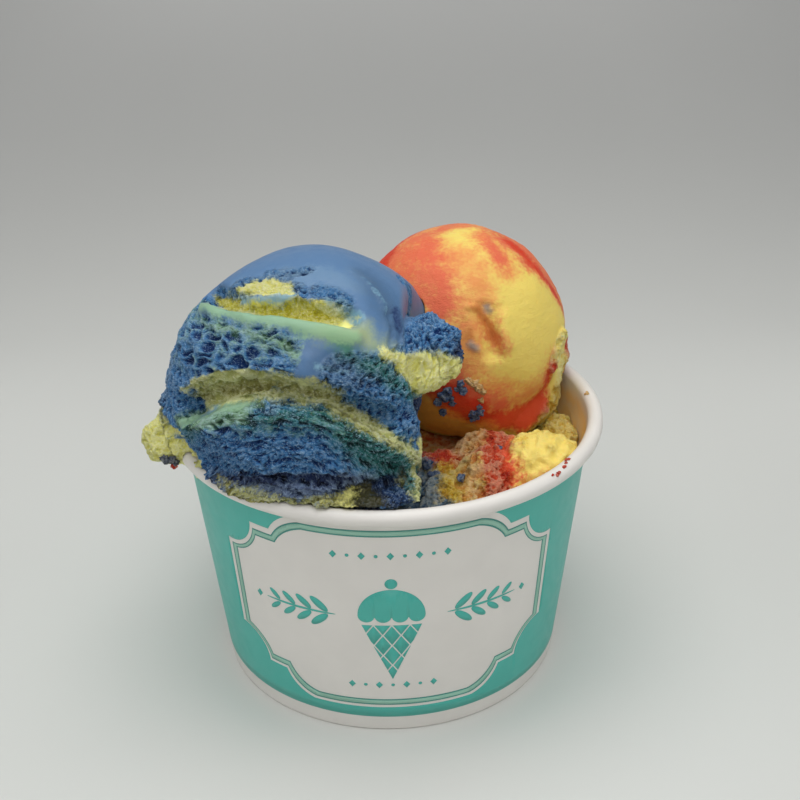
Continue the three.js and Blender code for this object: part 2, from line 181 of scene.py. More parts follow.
# Colour strokes: (line, half widths along it in millimetres)
BLUE_ZONES = {
    "yellow": [
        ([(-60, 60), (-50, 63.6), (-34, 66), (-20, 65.4), (-11, 63.6)], (0.8, 2.3, 3, 2.3, 0.8)),
        ([(2, 53.6), (14, 52), (25, 50.4)], (0.4, 1, 1.3)),
        ([(38, 35), (42, 32)], (1.2, 1.4)),
        ([(45, 28.5), (53, 22.5), (60, 17), (72, 10)], (2.2, 4.2, 3.8, 3)),
        ([(47, -4), (50, -14), (50, -26)], (1, 2.2, 2.2)),
        ([(-88, -8), (-84, -16), (-74, -22)], (1.5, 4, 4)),
        ([(-84, -9), (-74, -9), (-64, -5)], (1, 1.7, 0.8)),
    ],
    "olive": [
        ([(-87, 49.6), (-76, 52.4), (-45, 56.2), (-20, 58), (0, 57), (15, 54.8), (27, 51.8)],
         (0.7, 1.4, 1.7, 2.1, 2.5, 2.6, 1.6)),
    ],
    "tan": [
        ([(-56, 12.5), (-46, 19), (-33, 24), (-20, 27.5), (-8, 27.5)], (1.6, 2.6, 3, 2.2, 1.2)),
        ([(-19, 29), (-6, 27.5), (4, 25.5), (14, 21.5)], (1.2, 2.2, 2.2, 1.2)),
        ([(10, 20), (20, 14.5), (30, 6)], (1.2, 1.7, 1.6)),
    ],
    "cream": [
        ([(-74, 48.9), (-53, 53.6), (-30, 54.8), (-10, 54.4), (3, 53.2), (18, 50.8)],
         (0.4, 0.5, 0.55, 0.55, 0.6, 0.5)),
        ([(-4, 61.2), (10, 59), (24, 55.4), (32, 51.6)], (0, 0.2, 0.3, 0)),
        ([(41, -1), (40, -6), (39.5, -9), (37.5, -12), (35, -12.8), (33, -12.4)], (0.7, 1, 1, 0.9, 0.7, 0.4)),
        ([(-60, 15), (-46, 23.5), (-30, 29.5), (-14, 30.5), (0, 28.5), (10, 25.5)], (0.5, 1.1, 1.1, 1.2, 0.9, 0.5)),
        ([(-56, 8), (-46, 15.5), (-34, 20), (-26, 22)], (0.8, 1.4, 1.1, 0.5)),
        ([(-30, 20.5), (-17, 24), (-7, 24), (0, 22), (10, 21)], (0.6, 1, 1, 1.1, 0.8)),
        ([(10, 20), (17, 16), (24, 11), (32, 4), (40, -4), (47, -14), (51, -28)], (0.9, 1, 1, 1, 1.2, 1.2, 1)),
        ([(-30, -16), (-13, -16.5), (10, -16.5)], (0.5, 0.8, 0.5)),
    ],
    "mint": [
        ([(-76, 44.8), (-60, 48.9), (-40, 51.4), (-19, 52), (0, 49.6), (14, 46.8), (24, 43.4)],
         (1.2, 1.6, 1.8, 1.8, 2, 2.2, 1.4)),
        ([(-60, 42), (-44, 45), (-24, 45), (-10, 43), (-4, 39)], (0.5, 0.8, 0.6, 1, 0.8)),
        ([(-50, 7), (-36, 14), (-24, 17)], (1.6, 2.6, 1.8)),
        ([(-62, 1), (-50, 8.5), (-38, 15.5), (-26, 19.5), (-18, 21.5)], (1.3, 1.5, 1.5, 1.4, 0.8)),
    ],
    "green": [
        ([(-24, 14), (-8, 17), (4, 17), (11, 15), (18, 9), (25, 2), (33, -6), (42, -18)],
         (1.4, 2, 2.4, 3.4, 4.2, 4.6, 4.6, 4)),
        ([(26, 33), (32, 31), (38, 24), (46, 18), (56, 13)], (1.4, 1.8, 2.2, 2.4, 2)),
        ([(33, -4), (36, -10), (34.5, -13.5)], (2, 2.4, 1.6)),
        ([(-60, -6), (-52, 2), (-44, 6)], (1.4, 1.6, 1.2)),
        ([(14, 44), (20, 40)], (1, 1.8)),
        ([(206, -16), (238, -20), (262, -14)], (2, 4, 3)),
    ],
    "pale": [
        (STRIP, (0.6, 0.75, 0.8, 0.5)),
        ([(18, 60), (28, 56), (33, 51)], (0.8, 1.2, 1)),
        ([(6, 34), (18, 31.6)], (0.5, 0.6)),
        ([(-15, 27), (-12, 20)], (0.8, 1)),
        ([(-54, 7), (-45, 13)], (1, 1.1)),
        ([(57, 64), (55, 55), (50, 48)], (0.1, 0.2, 0.1)),
        ([(142, 12), (176, 4), (214, 8)], (0.2, 1, 0.2)),
    ],
    # Painted shade: the darkest blue in the grooves and hollows, under the flap and where the scoop turns under
    "navy_shade": [
        ([(-6.5, 42), (-5.5, 42)], (0.6, 0.6)),
        ([(24, -12.9), (31, -12)], (1.4, 1.2)),
        ([(14, -24), (26, -26), (44, -28)], (3, 4, 4)),
        ([(57, 47), (52, 41.5)], (0.7, 0.8)),
        ([(-42, -16), (-31, -13.5), (-18, -9), (-8, -6.5), (5, -7), (12, -9)], (0.4, 0.9, 1.2, 1.2, 1.1, 0.5)),
        ([(70, 20), (74, -6), (70, -24)], (3, 5, 4)),
    ],
    # Painted shade: dark olive low at the front, where the scoop sits on the rim
    "olive_shade": [([(10, -15), (16, -14), (22, -12.8)], (0.8, 1.8, 1.4)), ([(34, -8), (34, -12)], (0.3, 0.5))],
    "dusk": [([(-44, -18), (-30, -17), (-15, -12.5), (0, -11.5), (14, -10), (24, -9)], (1.2, 2.4, 3, 3, 3, 1.2))],
    "glow": [([(10, 47), (20, 46), (30, 44), (33, 39)], (1.6, 2.6, 2.4, 1.2)), ([(38, 37), (42, 33)], (1.4, 1.4))],
    "shade": [
        ([(2, 40), (12, 36), (20, 33), (28, 30)], (1.5, 4, 4, 2)),
        ([(64, 66), (58, 58), (52, 49), (48, 40)], (2, 3.2, 3, 1.8)),
    ],
    "haze": [
        ([(-64, 60), (-30, 73), (20, 74), (46, 62)], (2, 3, 3, 2)),
        ([(-84, 18), (-86, 4), (-84, -6)], (2.5, 2.5, 1.6)),
        ([(104, 58), (150, 44), (196, 22)], (1, 3.4, 1)),
        ([(196, 62), (234, 40), (262, 12)], (1, 3, 1)),
        (FOLD, (0.5, 0.9, 0.9, 0.8, 0.4)),
    ],
}
# Colours in the order that they cover each other: (name, raggedness and softness of its edge in millimetres,
# strength). The dome's own colour lies wherever the scoop isn't torn.
BLUE_LAYERS = [
    ("dome", 0.5, 1.2, 1), ("haze", 1.6, 2, 0.7), ("shade", 1, 3, 0.75), ("glow", 0.8, 2.6, 0.7),
    ("dusk", 0.8, 1.4, 0.9), ("green", 1.2, 2.6, 0.8), ("navy_shade", 0.7, 0.9, 0.9), ("olive_shade", 0.8, 0.9, 0.98),
    ("tan", 0.9, 0.9, 0.95), ("olive", 0.5, 0.5, 1), ("mint", 0.8, 0.9, 0.85), ("yellow", 0.8, 0.8, 0.95),
    ("pale", 0.6, 0.6, 0.9), ("cream", 0.8, 0.7, 0.9),
]

YELLOW_CENTRE = np.array((17, 16, 70.5))
YELLOW_RADIUS = 24.3
YELLOW_FORMS = [
    ([(12, 31), (13, 22), (15, 12)], 3.6, 0.1, -1.5),
    ([(23, 27), (21, 14)], 2.8, 0.1, 0.6),
    ([(95, -13), (86, -20), (70, -33), (45, -42)], 5, 0.35, 2.2),
    ([(30, -50), (90, -48), (150, -45)], 10, 0.4, 2),
]
YELLOW_FINE_FORMS = [
    ([(2, 35), (8, 34.5), (13, 31)], 1, 0.2, 0.4),
    ([(22, 37)], 1.6, 0.2, 0.25),
    ([(13, 27), (15, 21), (17, 14)], 0.9, 0.2, -0.6),
    ([(18, 26), (20, 18), (20, 11)], 1, 0.2, 0.35),
    ([(3, 16), (7, 13)], 1.2, 0.2, 0.3),
    ([(13, 34), (16, 33)], 0.9, 0.2, 0.3),
    ([(66, 6), (58, 0), (56, -8)], 2.2, 0.3, 1.5),
    ([(59, -3), (56, -9), (59, -18), (58, -26)], 1, 0.3, -0.9),
]
YELLOW_TORN = [
    ([(96, -12), (86, -20), (73, -33), (58, -41)], 5, 0.5, 1),
    ([(64, 6), (58, 0), (55, -7)], 2.2, 0.4, 0.9),
    ([(120, -44), (180, -44), (240, -44)], 9, 0.5, 1),
]
YELLOW_ZONES = {
    "coral": [
        ([(-160, 66), (-122, 60), (-97, 52), (-70, 42), (-44, 42), (-28, 48), (-18, 42), (-14, 30)],
         (9, 8, 10, 11, 8, 5, 4, 3)),
        ([(-110, 74), (-60, 68), (-38, 62)], (3, 4, 3)),
        ([(52, 73), (46, 67), (41, 60), (38, 55)], (1.2, 2.2, 1.8, 0.5)),
        ([(134, 76), (98, 69), (83, 61), (78, 50), (76, 38), (77, 27), (78, 17)],
         (2.4, 4.2, 4.8, 4.8, 3.8, 2.2, 0.8)),
        ([(128, 68), (110, 58), (102, 46), (96, 32), (88, 20)], (4, 5, 6, 6.5, 3)),
        ([(140, 56), (126, 44), (116, 30), (108, 18)], (5, 6, 6, 3)),
        ([(94, 30), (88, 20), (83, 13), (80, 6)], (6, 4.6, 3.2, 1.2)),
        ([(14, 24), (17, 18), (19, 11)], (0.5, 1, 0.7)),
        ([(-14, 0), (0, -8), (8, -16), (20, -22)], (3, 3, 3, 3)),
        ([(150, 40), (190, 20), (200, -10)], (6, 8, 6)),
    ],
    "red": [
        ([(-130, 50), (-100, 42), (-84, 36)], (5, 6, 5)),
        ([(100, 70), (78, 60), (72, 49), (72, 38), (76, 26), (79, 14)], (0.8, 1.4, 1.5, 1.3, 0.9, 0.6)),
        ([(56, -2), (53.5, -9), (56, -18), (54.5, -27), (47, -31.5), (37, -33.5), (26, -33.5), (14, -32.5), (4, -29)],
         (1.2, 1.7, 2.1, 2.5, 2.8, 2.8, 2.7, 3, 3.2)),
        ([(94, -4), (92, -12), (88, -20)], (2, 2.8, 2)),
        ([(-16, -6), (-10, -15), (-4, -21), (6, -24)], (3.6, 4.4, 4.4, 3.6)),
        ([(170, 0), (220, -20)], (5, 6)),
    ],
    "orange": [
        ([(-40, 70), (-10, 62), (2, 56), (4, 44), (-2, 32), (0, 18), (2, 4)], (4, 5, 6, 6, 6, 5, 4)),
        ([(54, 74), (46, 64), (38, 52)], (3, 4, 2.5)),
        ([(10, -12), (30, -22), (48, -18), (58, -2)], (4, 3.4, 2.2, 1.2)),
    ],
    # Painted shade: the ball's underside, browned where the shade falls down between the scoops
    "brown": [([(-24, -26), (-14, -40), (-2, -46), (10, -44)], (5, 6, 6, 4))],
    "pale": [
        ([(70, 7), (62, 4), (56, -2)], (1.2, 1.6, 1)),
        ([(82, -8), (78, -16), (72, -22)], (1, 1.6, 1.2)),
    ],
    # Painted shade: brownish orange down in the gouge, where the hollow is shaded
    "hollow": [
        ([(4, 35), (9, 33), (13, 27), (15, 20), (17, 13)], (0.2, 0.9, 1.3, 1.2, 0.3)),
        ([(2, 22), (4, 14)], (0.6, 0.8)),
    ],
    "dusk": [([(3, 16), (6, 13.5)], (0.7, 0.6)), ([(14, 34.5), (15.5, 32.5)], (0.7, 0.6))],
}
YELLOW_LAYERS = [
    ("orange", 2.3, 3.6, 0.85), ("coral", 2.1, 2.8, 0.95), ("red", 0.9, 1.3, 0.95), ("pale", 0.8, 0.9, 0.95),
    ("brown", 1.4, 2.2, 0.95), ("hollow", 0.5, 1.2, 0.8), ("dusk", 0.5, 0.8, 0.7),
]
# How deep inside their strokes these two get at most, so that the scoop's own yellow shows through in flecks
YELLOW_DEEPEST = {"coral": 2.3, "orange": 2}

# Ice cream in the cup: lumps as (middle, half sizes), and coloured regions as (middle, half sizes)
LUMPS = [
    ((32, -19, 51.5), (10.5, 10, 9.5)),
    ((21.5, -22, 49.5), (8, 10, 9.2)),
    ((13, -27, 46.5), (9.5, 11, 9)),
    ((11, -16, 46), (10, 9, 9.5)),
    ((4, -30, 43), (9, 9, 9)),
    ((39, 4, 45), (6, 9, 8)),
    ((35, 15, 44), (8, 10, 8)),
    ((21.5, -10.5, 50.8), (7.2, 5.2, 7.4)),
]
# The palest lump, which is smoother than the others: (middle, half sizes)
SMOOTH_LUMP = ((32, -20, 52), (10, 10, 9))
# How high the cup is filled, and where the fill dips: (x, y, reach, depth)
FILL_LEVEL = 48.5
FILL_DIP = (37, 1, 15, 4)
LOWER_ZONES = {
    "blue": [((5.6, -27, 52.5), (5.2, 12, 7)), ((-20, -20, 48), (16, 22, 10)), ((10, -34, 52), (4, 3, 3))],
    "straw": [((12.5, -27, 50), (7.5, 12, 9))],
    "red": [
        ((22.4, -19, 54), (5.2, 19, 9)), ((26, -33, 52), (9, 5.5, 5)), ((11, -12, 54.5), (9.5, 6.5, 4)),
        ((10, -7, 50), (13, 4, 5)), ((-26, 18, 48), (10, 14, 8)),
    ],
    "tan": [((17, -26, 54), (2.8, 11, 8)), ((17.6, -10, 56), (4.2, 6, 5))],
    "orange": [((36, -31, 53), (9, 5, 5)), ((17, 5, 48), (13, 7, 4)), ((8, 34, 48), (14, 10, 8))],
}
LOWER_LAYERS = [
    ("straw", 1.8, 2, 0.95), ("orange", 1.8, 2, 0.9), ("red", 1.8, 1.6, 0.95), ("tan", 1.4, 1.2, 0.8),
    ("blue", 1.6, 1.6, 0.95),
]

# Crumbs: (longitude, latitude, size) on the yellow scoop, and (x, y, size) on the lumps
BLUE_CRUMBS = [
    (-10.6, -12.1, 2.4), (-14.6, -16.5, 1.9), (-12.3, -23.8, 1.9), (-8, -13.3, 1.7), (-9, -9, 1.8), (-6.5, -17, 1.5),
    (-0.7, -8.7, 1.9), (-2.8, -4.4, 1.6), (-4, -8, 1.3), (5.7, -27.9, 2), (8.2, -24, 1.9), (4.6, -24.5, 1.7),
    (7.6, -20.4, 1.3),
]
CREAM_CRUMBS = [(1.8, -2.8, 1.6), (4.2, -4.4, 1.8), (6.5, -7.2, 2), (8.7, -9.9, 1.6), (8.2, -15.5, 1.4)]
LUMP_CRUMBS = [(23.3, -18, 1.5), (9.5, -22.5, 2.2), (8.4, -19, 1.8), (15, -26, 1.9)]

# Ice cream that has run or dropped on the rim: (angle round the cup, angle over the bead, size, sort)
RIM_DROPS = [
    (53.3, 105, 1.2, "red"), (51.4, 84, 0.8, "red"), (49.6, 66, 0.8, "red"), (46.3, 52, 1.1, "red"),
    (44.6, 62, 0.7, "red"), (94.2, 120, 1.2, "tan"),
    (-40.2, 70, 1.3, "tan"), (-38.4, 62, 1.1, "blue"), (-29.8, 86, 1.6, "orange"), (-27.6, 92, 1.2, "orange"),
]
# Crumbs on the blob squeezed over the rim: (middle, size, sort)
BLOB_CRUMBS = [
    ((-46.6, -20.9, 58.6), 2, "blue"), ((-45.4, -20.8, 58.4), 1.7, "blue"), ((-44.8, -20.4, 57.4), 1.6, "blue"),
    ((-45.1, -20.6, 56.7), 1.4, "red"),
]


# ---------------------------------------------------------------- settings


def linear(red, green, blue):
    """A colour picked on screen, 0 to 255, as the linear values that Blender keeps."""
    shares = [value / 255 for value in (red, green, blue)]
    return tuple(((share + 0.055) / 1.055) ** 2.4 if share > 0.04 else share / 12.92 for share in shares)


def length(name, description, millimetres):
    """A setting for a length, given in millimetres and kept in metres."""
    return FloatProperty(
        name=name, description=description, default=millimetres * MM, min=0, unit="LENGTH", precision=5
    )


def tint(name, description, red, green, blue):
    """A setting for a colour."""
    return FloatVectorProperty(
        name=name, description=description, default=linear(red, green, blue), size=3, min=0, max=1, subtype="COLOR"
    )


class PaperCupSettings(bpy.types.PropertyGroup):
    paper: length("Paper", "Thickness of the paper board", 0.6)
    bead_radius: length("Bead radius", "Radius of the rolled rim's own section", 1.7)
    base_radius: length("Base radius", "Outside radius where the cup stands", 38.7)
    hem_height: length("Hem height", "Height of the wall's folded foot", 6)
    hem_thickness: length("Hem thickness", "Thickness of the wall's folded foot", 1.4)
    steps: IntProperty(name="Steps", description="Divisions round the cup", default=256, min=32, max=512)
    paper_tint: tint("Paper", "Unprinted board", 232, 228, 221)
    # Painted reflected light: the warm tone that light bounced off the yellow ice cream gives the inside
    bounced_light_tint: tint("Film", "Board with a film of melted ice cream on it", 248, 208, 138)


class PrintSettings(bpy.types.PropertyGroup):
    half_width: length("Half width", "Half the plaque's width, along the wall", 38.0)
    middle: length("Middle height", "Height of the plaque's middle", 32.0)
    shoulder: length("Shoulder", "Height of the plaque's shoulders from its middle", 18.93)
    top_rise: length("Top rise", "How far the top stands above the shoulders", 5.1)
    foot_rise: length("Foot rise", "How far the foot hangs below the lower shoulders", 6.25)
    notch: length("Notch", "Where the shoulders begin, from the middle", 25.1)
    notch_radius: length("Notch radius", "Radius of the rounded ends of the top", 9.7)
    corner: length("Corner", "Place of the hollow corners' middles, from the middle", 37.4)
    scoop: length("Corner radius", "Radius of the hollow corners", 7.4)
    taper: FloatProperty(
        name="Taper", description="Share by which the plaque widens with each millimetre up", default=0.00165
    )
    slip: length("Slip", "How far the frame is printed below its place", 0.35)
    band_foot: length("Band foot", "Height where the printed band begins", 4.0)
    band_top: length("Band top", "Height where the printed band ends", 56.9)
    film: length("Ink", "Thickness of an ink film", 0.03)
    band_tint: tint("Band", "Ink of the band and motif", 72, 181, 167)
    line_tint: tint("Pale line", "Ink of the frame's wide pale line", 150, 199, 178)
    hairline_tint: tint("Hairline", "Ink of the frame's thin dark lines", 62, 146, 134)


class BlueScoopSettings(bpy.types.PropertyGroup):
    voxel: length("Skin", "Fineness of the skin before the torn parts are divided", 0.88)
    pit_depth: length("Pits", "Depth of the larger holes", 1.15)
    crumb_depth: length("Crumb", "Depth of the fine crumb", 0.5)
    dome: tint("Dome", "Smooth, moist skin", 88, 124, 164)
    torn: tint("Torn", "Torn ice cream", 68, 130, 184)
    # Painted shade: how much the colour is dimmed down in the holes
    pit: tint("Pits", "How the ice cream's own colour is dimmed down in its holes", 198, 200, 206)
    yellow: tint("Yellow", "Torn yellow streaks", 250, 246, 152)
    olive: tint("Olive", "Yellow ice cream down in a gash", 216, 208, 72)
    tan: tint("Tan", "Granular ice cream down in the crevice", 178, 174, 98)
    green: tint("Green", "Where blue and yellow have run together", 40, 118, 88)
    mint: tint("Mint", "Pale green smears", 150, 188, 144)
    cream: tint("Cream", "Frosty cream edges", 212, 214, 146)
    pale: tint("Pale blue", "Pale blue streaks", 124, 166, 188)
    # Painted shade: the darkest blue, in grooves and hollows and where the scoop turns under
    navy_shade: tint("Navy", "Darkest blue", 16, 40, 92)
    # Painted shade: dark olive low at the front, where the scoop sits on the rim
    olive_shade: tint("Moss", "Dark olive at the foot, by the rim", 56, 52, 12)
    dusk: tint("Grey blue", "Dull violet blue", 118, 134, 166)
    glow: tint("Glow", "Pale yellow green seen through the smooth skin", 184, 196, 124)
    haze: tint("Haze", "Frosted bands on the dome", 110, 142, 172)
    shade: tint("Shade", "Deeper blue where the dome turns under", 68, 98, 130)


class YellowScoopSettings(bpy.types.PropertyGroup):
    yellow: tint("Yellow", "Main yellow", 244, 218, 110)
    coral: tint("Coral", "Marbling", 230, 106, 74)
    red: tint("Red", "Deepest streaks", 216, 58, 28)
    orange: tint("Orange", "Where the two have run together", 236, 142, 82)
    # Painted shade: brownish orange down in the gouge, where the hollow is shaded
    hollow: tint("Hollow", "Brownish orange down in the gouge", 206, 124, 56)
    brown: tint("Deep", "Deep down between the scoops, where the shade browns it", 252, 176, 68)
    pale: tint("Pale", "Dried, crumbly edges", 246, 234, 150)
    dusk: tint("Grey blue", "Smears of the blue ice cream", 140, 150, 150)
    tan: tint("Tan", "Crumbly pink tan", 230, 184, 112)
    straw: tint("Straw", "Deeper, greener yellow in the cup", 222, 190, 70)
    blue: tint("Blue", "Blue run into the yellow", 84, 124, 158)
    crumb: tint("Crumbs", "Crumbs of blue ice cream", 76, 100, 138)


class StageSettings(bpy.types.PropertyGroup):
    camera: FloatVectorProperty(
        name="Camera", description="Place of the camera from the cup's axis", subtype="TRANSLATION", unit="LENGTH",
        default=(0, -0.260248, 0.189762),
    )
    turn: FloatVectorProperty(
        name="Turn", description="Rotation of the camera", subtype="EULER", unit="ROTATION",
        default=tuple(math.radians(a) for a in (63.63659, 0.871958, -1.078924)),
    )
    lens: FloatProperty(name="Lens", description="Focal length on a 36 mm wide sensor, in millimetres", default=58.5)
    floor_tint: tint("Floor", "Pale paper sweep", 216, 217, 212)
    # Painted shade: the darker tone of the sweep further back, where less light reaches it
    backdrop_shade_tint: tint("Backdrop", "The sweep where it rises, further back", 168, 168, 165)
    sweep_start: length("Sweep", "How far behind the cup's axis the floor starts to rise", 175)
    sweep_radius: length("Curve", "Radius of the sweep's curve", 260)


# ---------------------------------------------------------------- relief and colour fields


def smooth(value, low, high):
    """0 below low, 1 above high, and a smooth step between."""
    share = np.clip((value - low) / (high - low), 0, 1)
    return share * share * (3 - 2 * share)


def toward(longitude, latitude):
    """Unit vectors, a row each, from longitudes and latitudes in degrees."""
    longitude, latitude = np.radians(longitude), np.radians(latitude)
    flat = np.cos(latitude)
    return np.stack((np.sin(longitude) * flat, -np.cos(longitude) * flat, np.sin(latitude)), -1)


def nearest(units, line, within=math.tau):
    """How far unit vectors are from a line of directions on a ball of radius 1, and how far along it, 0 to 1.

    Those further from it than within are only known to be far.
    """
    line = np.array(line, float)
    spans, far = 6, 9.0
    along = np.linspace(0, len(line) - 1, spans * (len(line) - 1) + 1)
    stops = toward(*(np.interp(along, range(len(line)), line[:, k]) for k in (0, 1)))
    middle = stops.mean(0) / np.linalg.norm(stops.mean(0))
    extent = math.acos(max(-1, (stops @ middle).min())) + 1.1 * within
    close = np.flatnonzero(units @ middle > (math.cos(extent) if extent < math.pi else -2))
    away, share = np.full(len(units), far), np.zeros(len(units))
    seen = units[close]
    best, part_best = np.linalg.norm(seen - stops[0], axis=1), np.zeros(len(seen))
    for i, (start, end) in enumerate(zip(stops, stops[1:])):
        span = end - start
        part = np.clip((seen - start) @ span / (span @ span), 0, 1)
        distance = np.linalg.norm(seen - start - part[:, None] * span, axis=1)
        closer = distance < best
        best[closer] = distance[closer]
        part_best[closer] = (i + part[closer]) / (len(stops) - 1)
    away[close], share[close] = best, part_best
    return away, share


def felt(forms, units, radius):
    """The summed height of forms at unit directions on a ball."""
    total = np.zeros(len(units))
    for line, reach, core, height in forms:
        away = nearest(units, line, reach / radius)[0] * radius
        total += height * (1 - smooth(away, reach * core, reach))
    return total


def stroked(strokes, units, radius):
    """How deep inside the nearest colour stroke each direction is, in millimetres: negative outside."""
    depth = np.full(len(units), FAR_OUT)
    beside = 6
    for line, halves in strokes:
        away, share = nearest(units, line, (max(halves) + beside) / radius)
        half = np.interp(share, np.linspace(0, 1, len(halves)), halves)
        depth = np.maximum(depth, half - away * radius)
    return depth


def blobbed(regions, points):
    """How deep inside the nearest egg-shaped region each point is, in millimetres: negative outside."""
    depth = np.full(len(points), FAR_OUT)
    for middle, halves in regions:
        out = np.linalg.norm((points - middle) / halves, axis=1)
        depth = np.maximum(depth, (1 - out) * min(halves))
    return np.clip(depth, FAR_OUT, -FAR_OUT)


def grain(points, size, octaves=1, seed=0.0):
    """Noise from about -1 to 1 at points, with grains of a size: one number, or one for each axis."""
    places = (points / np.array(size) + seed).tolist()
    if octaves == 1:
        return np.array([noise.noise(place) for place in places])
    return np.array([noise.fractal(place, 0.8, 2.1, octaves) for place in places])


def holes(points, size, seed=0.0, depth=0.62):
    """0 on the walls between the holes of a sponge, and up to about 1 down in the holes.

    The less the depth, the thinner the walls.
    """
    places = (points / np.array(size) + seed).tolist()
    two = np.array([noise.voronoi(place)[0][:2] for place in places])
    return smooth(two[:, 1] - two[:, 0], 0.04, depth)


def uneven(unit):
    """Slow unevenness of scooped ice cream, in millimetres."""
    x, y, z = unit.T
    slow = 0.3 * np.sin(5 * x + 3 * z) * np.sin(4 * y - 2 * z + 1)
    return slow + 0.2 * np.sin(9 * x + 2 * y) * np.sin(8 * z)


def craggy(unit):
    """Sharper unevenness, from about -1.5 to 1.5."""
    x, y, z = unit.T
    return np.sin(13 * x + 4 * z + 2) * np.sin(29 * z + 3 * x) + 0.5 * np.sin(23 * x - 9 * y)


def reached(units, radius, forms, torn_forms, ragged):
    """How far a scoop's skin is from its middle. Where it is torn it is craggy, by ragged in millimetres."""
    torn = np.minimum(felt(torn_forms, units, radius), 1)
    return radius + uneven(units) + ragged * craggy(units) * torn + felt(forms, units, radius)


def blue_reach(units):
    """How far the blue scoop's skin is from its middle."""
    return reached(units, BLUE_RADIUS, BLUE_FORMS, BLUE_CRAGGY, 0.35)


def yellow_reach(units):
    """How far the yellow scoop's skin is from its middle."""
    return reached(units, YELLOW_RADIUS, YELLOW_FORMS, YELLOW_TORN, 0.4)


def seen_from(centre, points):
    """Each point's direction and distance from a scoop's middle."""
    out = points - centre
    away = np.maximum(np.linalg.norm(out, axis=1), TINY)
    return out / away[:, None], away


# ---------------------------------------------------------------- room inside the cup


def wall_radius(height):
    """Outside radius of the paper wall at a height, both in millimetres."""
    cup = bpy.context.scene.paper_cup
    bead, base = cup.bead_radius / MM, cup.base_radius / MM
    top = RIM_RADIUS - 2 * bead + cup.paper / MM
    return base + (top - base) * height / (CUP_HEIGHT - bead)


def inside_cup(points, clear):
    """Points moved towards the cup's axis until they are clear of the wall and bead.

    Above the bead they may lean out by a share of how much higher they are.
    """
    bead = bpy.context.scene.paper_cup.bead_radius / MM
    centre, level, reach = RIM_RADIUS - bead, CUP_HEIGHT - bead, bead + clear
    lean_out, crown = 0.42, reach * 0.985
    rise = np.clip(points[:, 2] - level, 0, crown)
    beside = centre - np.sqrt(reach**2 - rise**2)
    above = np.maximum(points[:, 2] - level - crown, 0) * lean_out
    below = np.minimum(points[:, 2] - level, 0) * (wall_radius(1) - wall_radius(0))
    allowed = beside + above + below
    out = np.hypot(points[:, 0], points[:, 1])
    keep = np.minimum(1, allowed / np.maximum(out, TINY))
    return points * np.stack((keep, keep, np.ones_like(keep)), 1)


def off_bead(points, clear):
    """Points moved straight out of the rolled bead and off the wall below it."""
    cup = bpy.context.scene.paper_cup
    bead = cup.bead_radius / MM
    out = np.hypot(points[:, 0], points[:, 1])
    across, up = out - (RIM_RADIUS - bead), points[:, 2] - (CUP_HEIGHT - bead)
    away = np.maximum(np.hypot(across, up), TINY)
    push = np.maximum(1, (bead + clear) / away)
    wanted = RIM_RADIUS - bead + across * push
    height = CUP_HEIGHT - bead + up * push
    # Below the bead, what is further in than the parting belongs inside the wall
    wall, low = wall_radius(height), height < CUP_HEIGHT - bead
    outside, inside, parting = wall + clear, wall - cup.paper / MM - clear, wall - 1.5
    wanted = np.where(low & (wanted > parting) & (wanted < outside), outside, wanted)
    wanted = np.where(low & (wanted <= parting) & (wanted > inside), inside, wanted)
    keep = wanted / np.maximum(out, TINY)
    return np.stack((points[:, 0] * keep, points[:, 1] * keep, height), 1)


def pushed_out(points, centre, reach, clear):
    """Points that are inside a scoop moved straight out to its skin."""
    units, away = seen_from(centre, points)
    skin = reach(units) + clear
    return np.where((away < skin)[:, None], centre + units * skin[:, None], points)


# ---------------------------------------------------------------- mesh tools


def ball(divisions, place):
    """A ball of triangles with each corner moved by a rule from its unit direction to its place."""
    bm = bmesh.new()
    bmesh.ops.create_icosphere(bm, subdivisions=divisions, radius=1)
    units = np.array([vert.co.normalized() for vert in bm.verts])
    for vert, at in zip(bm.verts, place(units).tolist()):
        vert.co = at
    return bm


def lump(middle, halves, divisions, turn=0, square=2, ragged=0, seed=0, grains=3.2):
    """A rounded block of three half sizes, turned about z. square 2 is an egg, more is boxier.

    It is ragged by some millimetres, with grains of a size.
    """
    rotation = np.array(Matrix.Rotation(math.radians(turn), 3, "Z"))

    def place(units):
        bulk = (np.abs(units) ** square).sum(1) ** (-1 / square)
        at = units * (bulk * (1 + 0.06 * craggy(units)))[:, None] * halves
        at += units * (ragged * grain(at, grains, 2, seed))[:, None]
        return at @ rotation.T + middle

    return ball(divisions, place)


def as_mesh(bms):
    """Meshes in the making put together as one."""
    whole = bmesh.new()
    for bm in bms:
        part = bpy.data.meshes.new("part")
        bm.to_mesh(part)
        bm.free()
        whole.from_mesh(part)
        bpy.data.meshes.remove(part)
    mesh = bpy.data.meshes.new("whole")
    whole.to_mesh(mesh)
    whole.free()
    return mesh


def skinned(mesh, voxel):
    """One closed skin of even squares round everything in a mesh."""
    holder = bpy.data.objects.new("skin", mesh)
    bpy.context.scene.collection.objects.link(holder)
    modifier = holder.modifiers.new("skin", "REMESH")
    modifier.mode = "VOXEL"
    modifier.voxel_size = voxel
    skin = bpy.data.meshes.new_from_object(holder.evaluated_get(bpy.context.evaluated_depsgraph_get()))
    bpy.data.objects.remove(holder)
    bpy.data.meshes.remove(mesh)
    return skin


def corners(mesh):
    """A mesh's corners and the way out at each, as rows."""
    points = np.empty(len(mesh.vertices) * 3)
    mesh.vertices.foreach_get("co", points)
    outward = np.empty(len(mesh.vertices) * 3)
    mesh.vertex_normals.foreach_get("vector", outward)
    return points.reshape(-1, 3), outward.reshape(-1, 3)


def move_corners(mesh, points):
    """Puts a mesh's corners at the rows of points."""
    mesh.vertices.foreach_set("co", np.ascontiguousarray(points, np.float32).ravel())
    mesh.update()


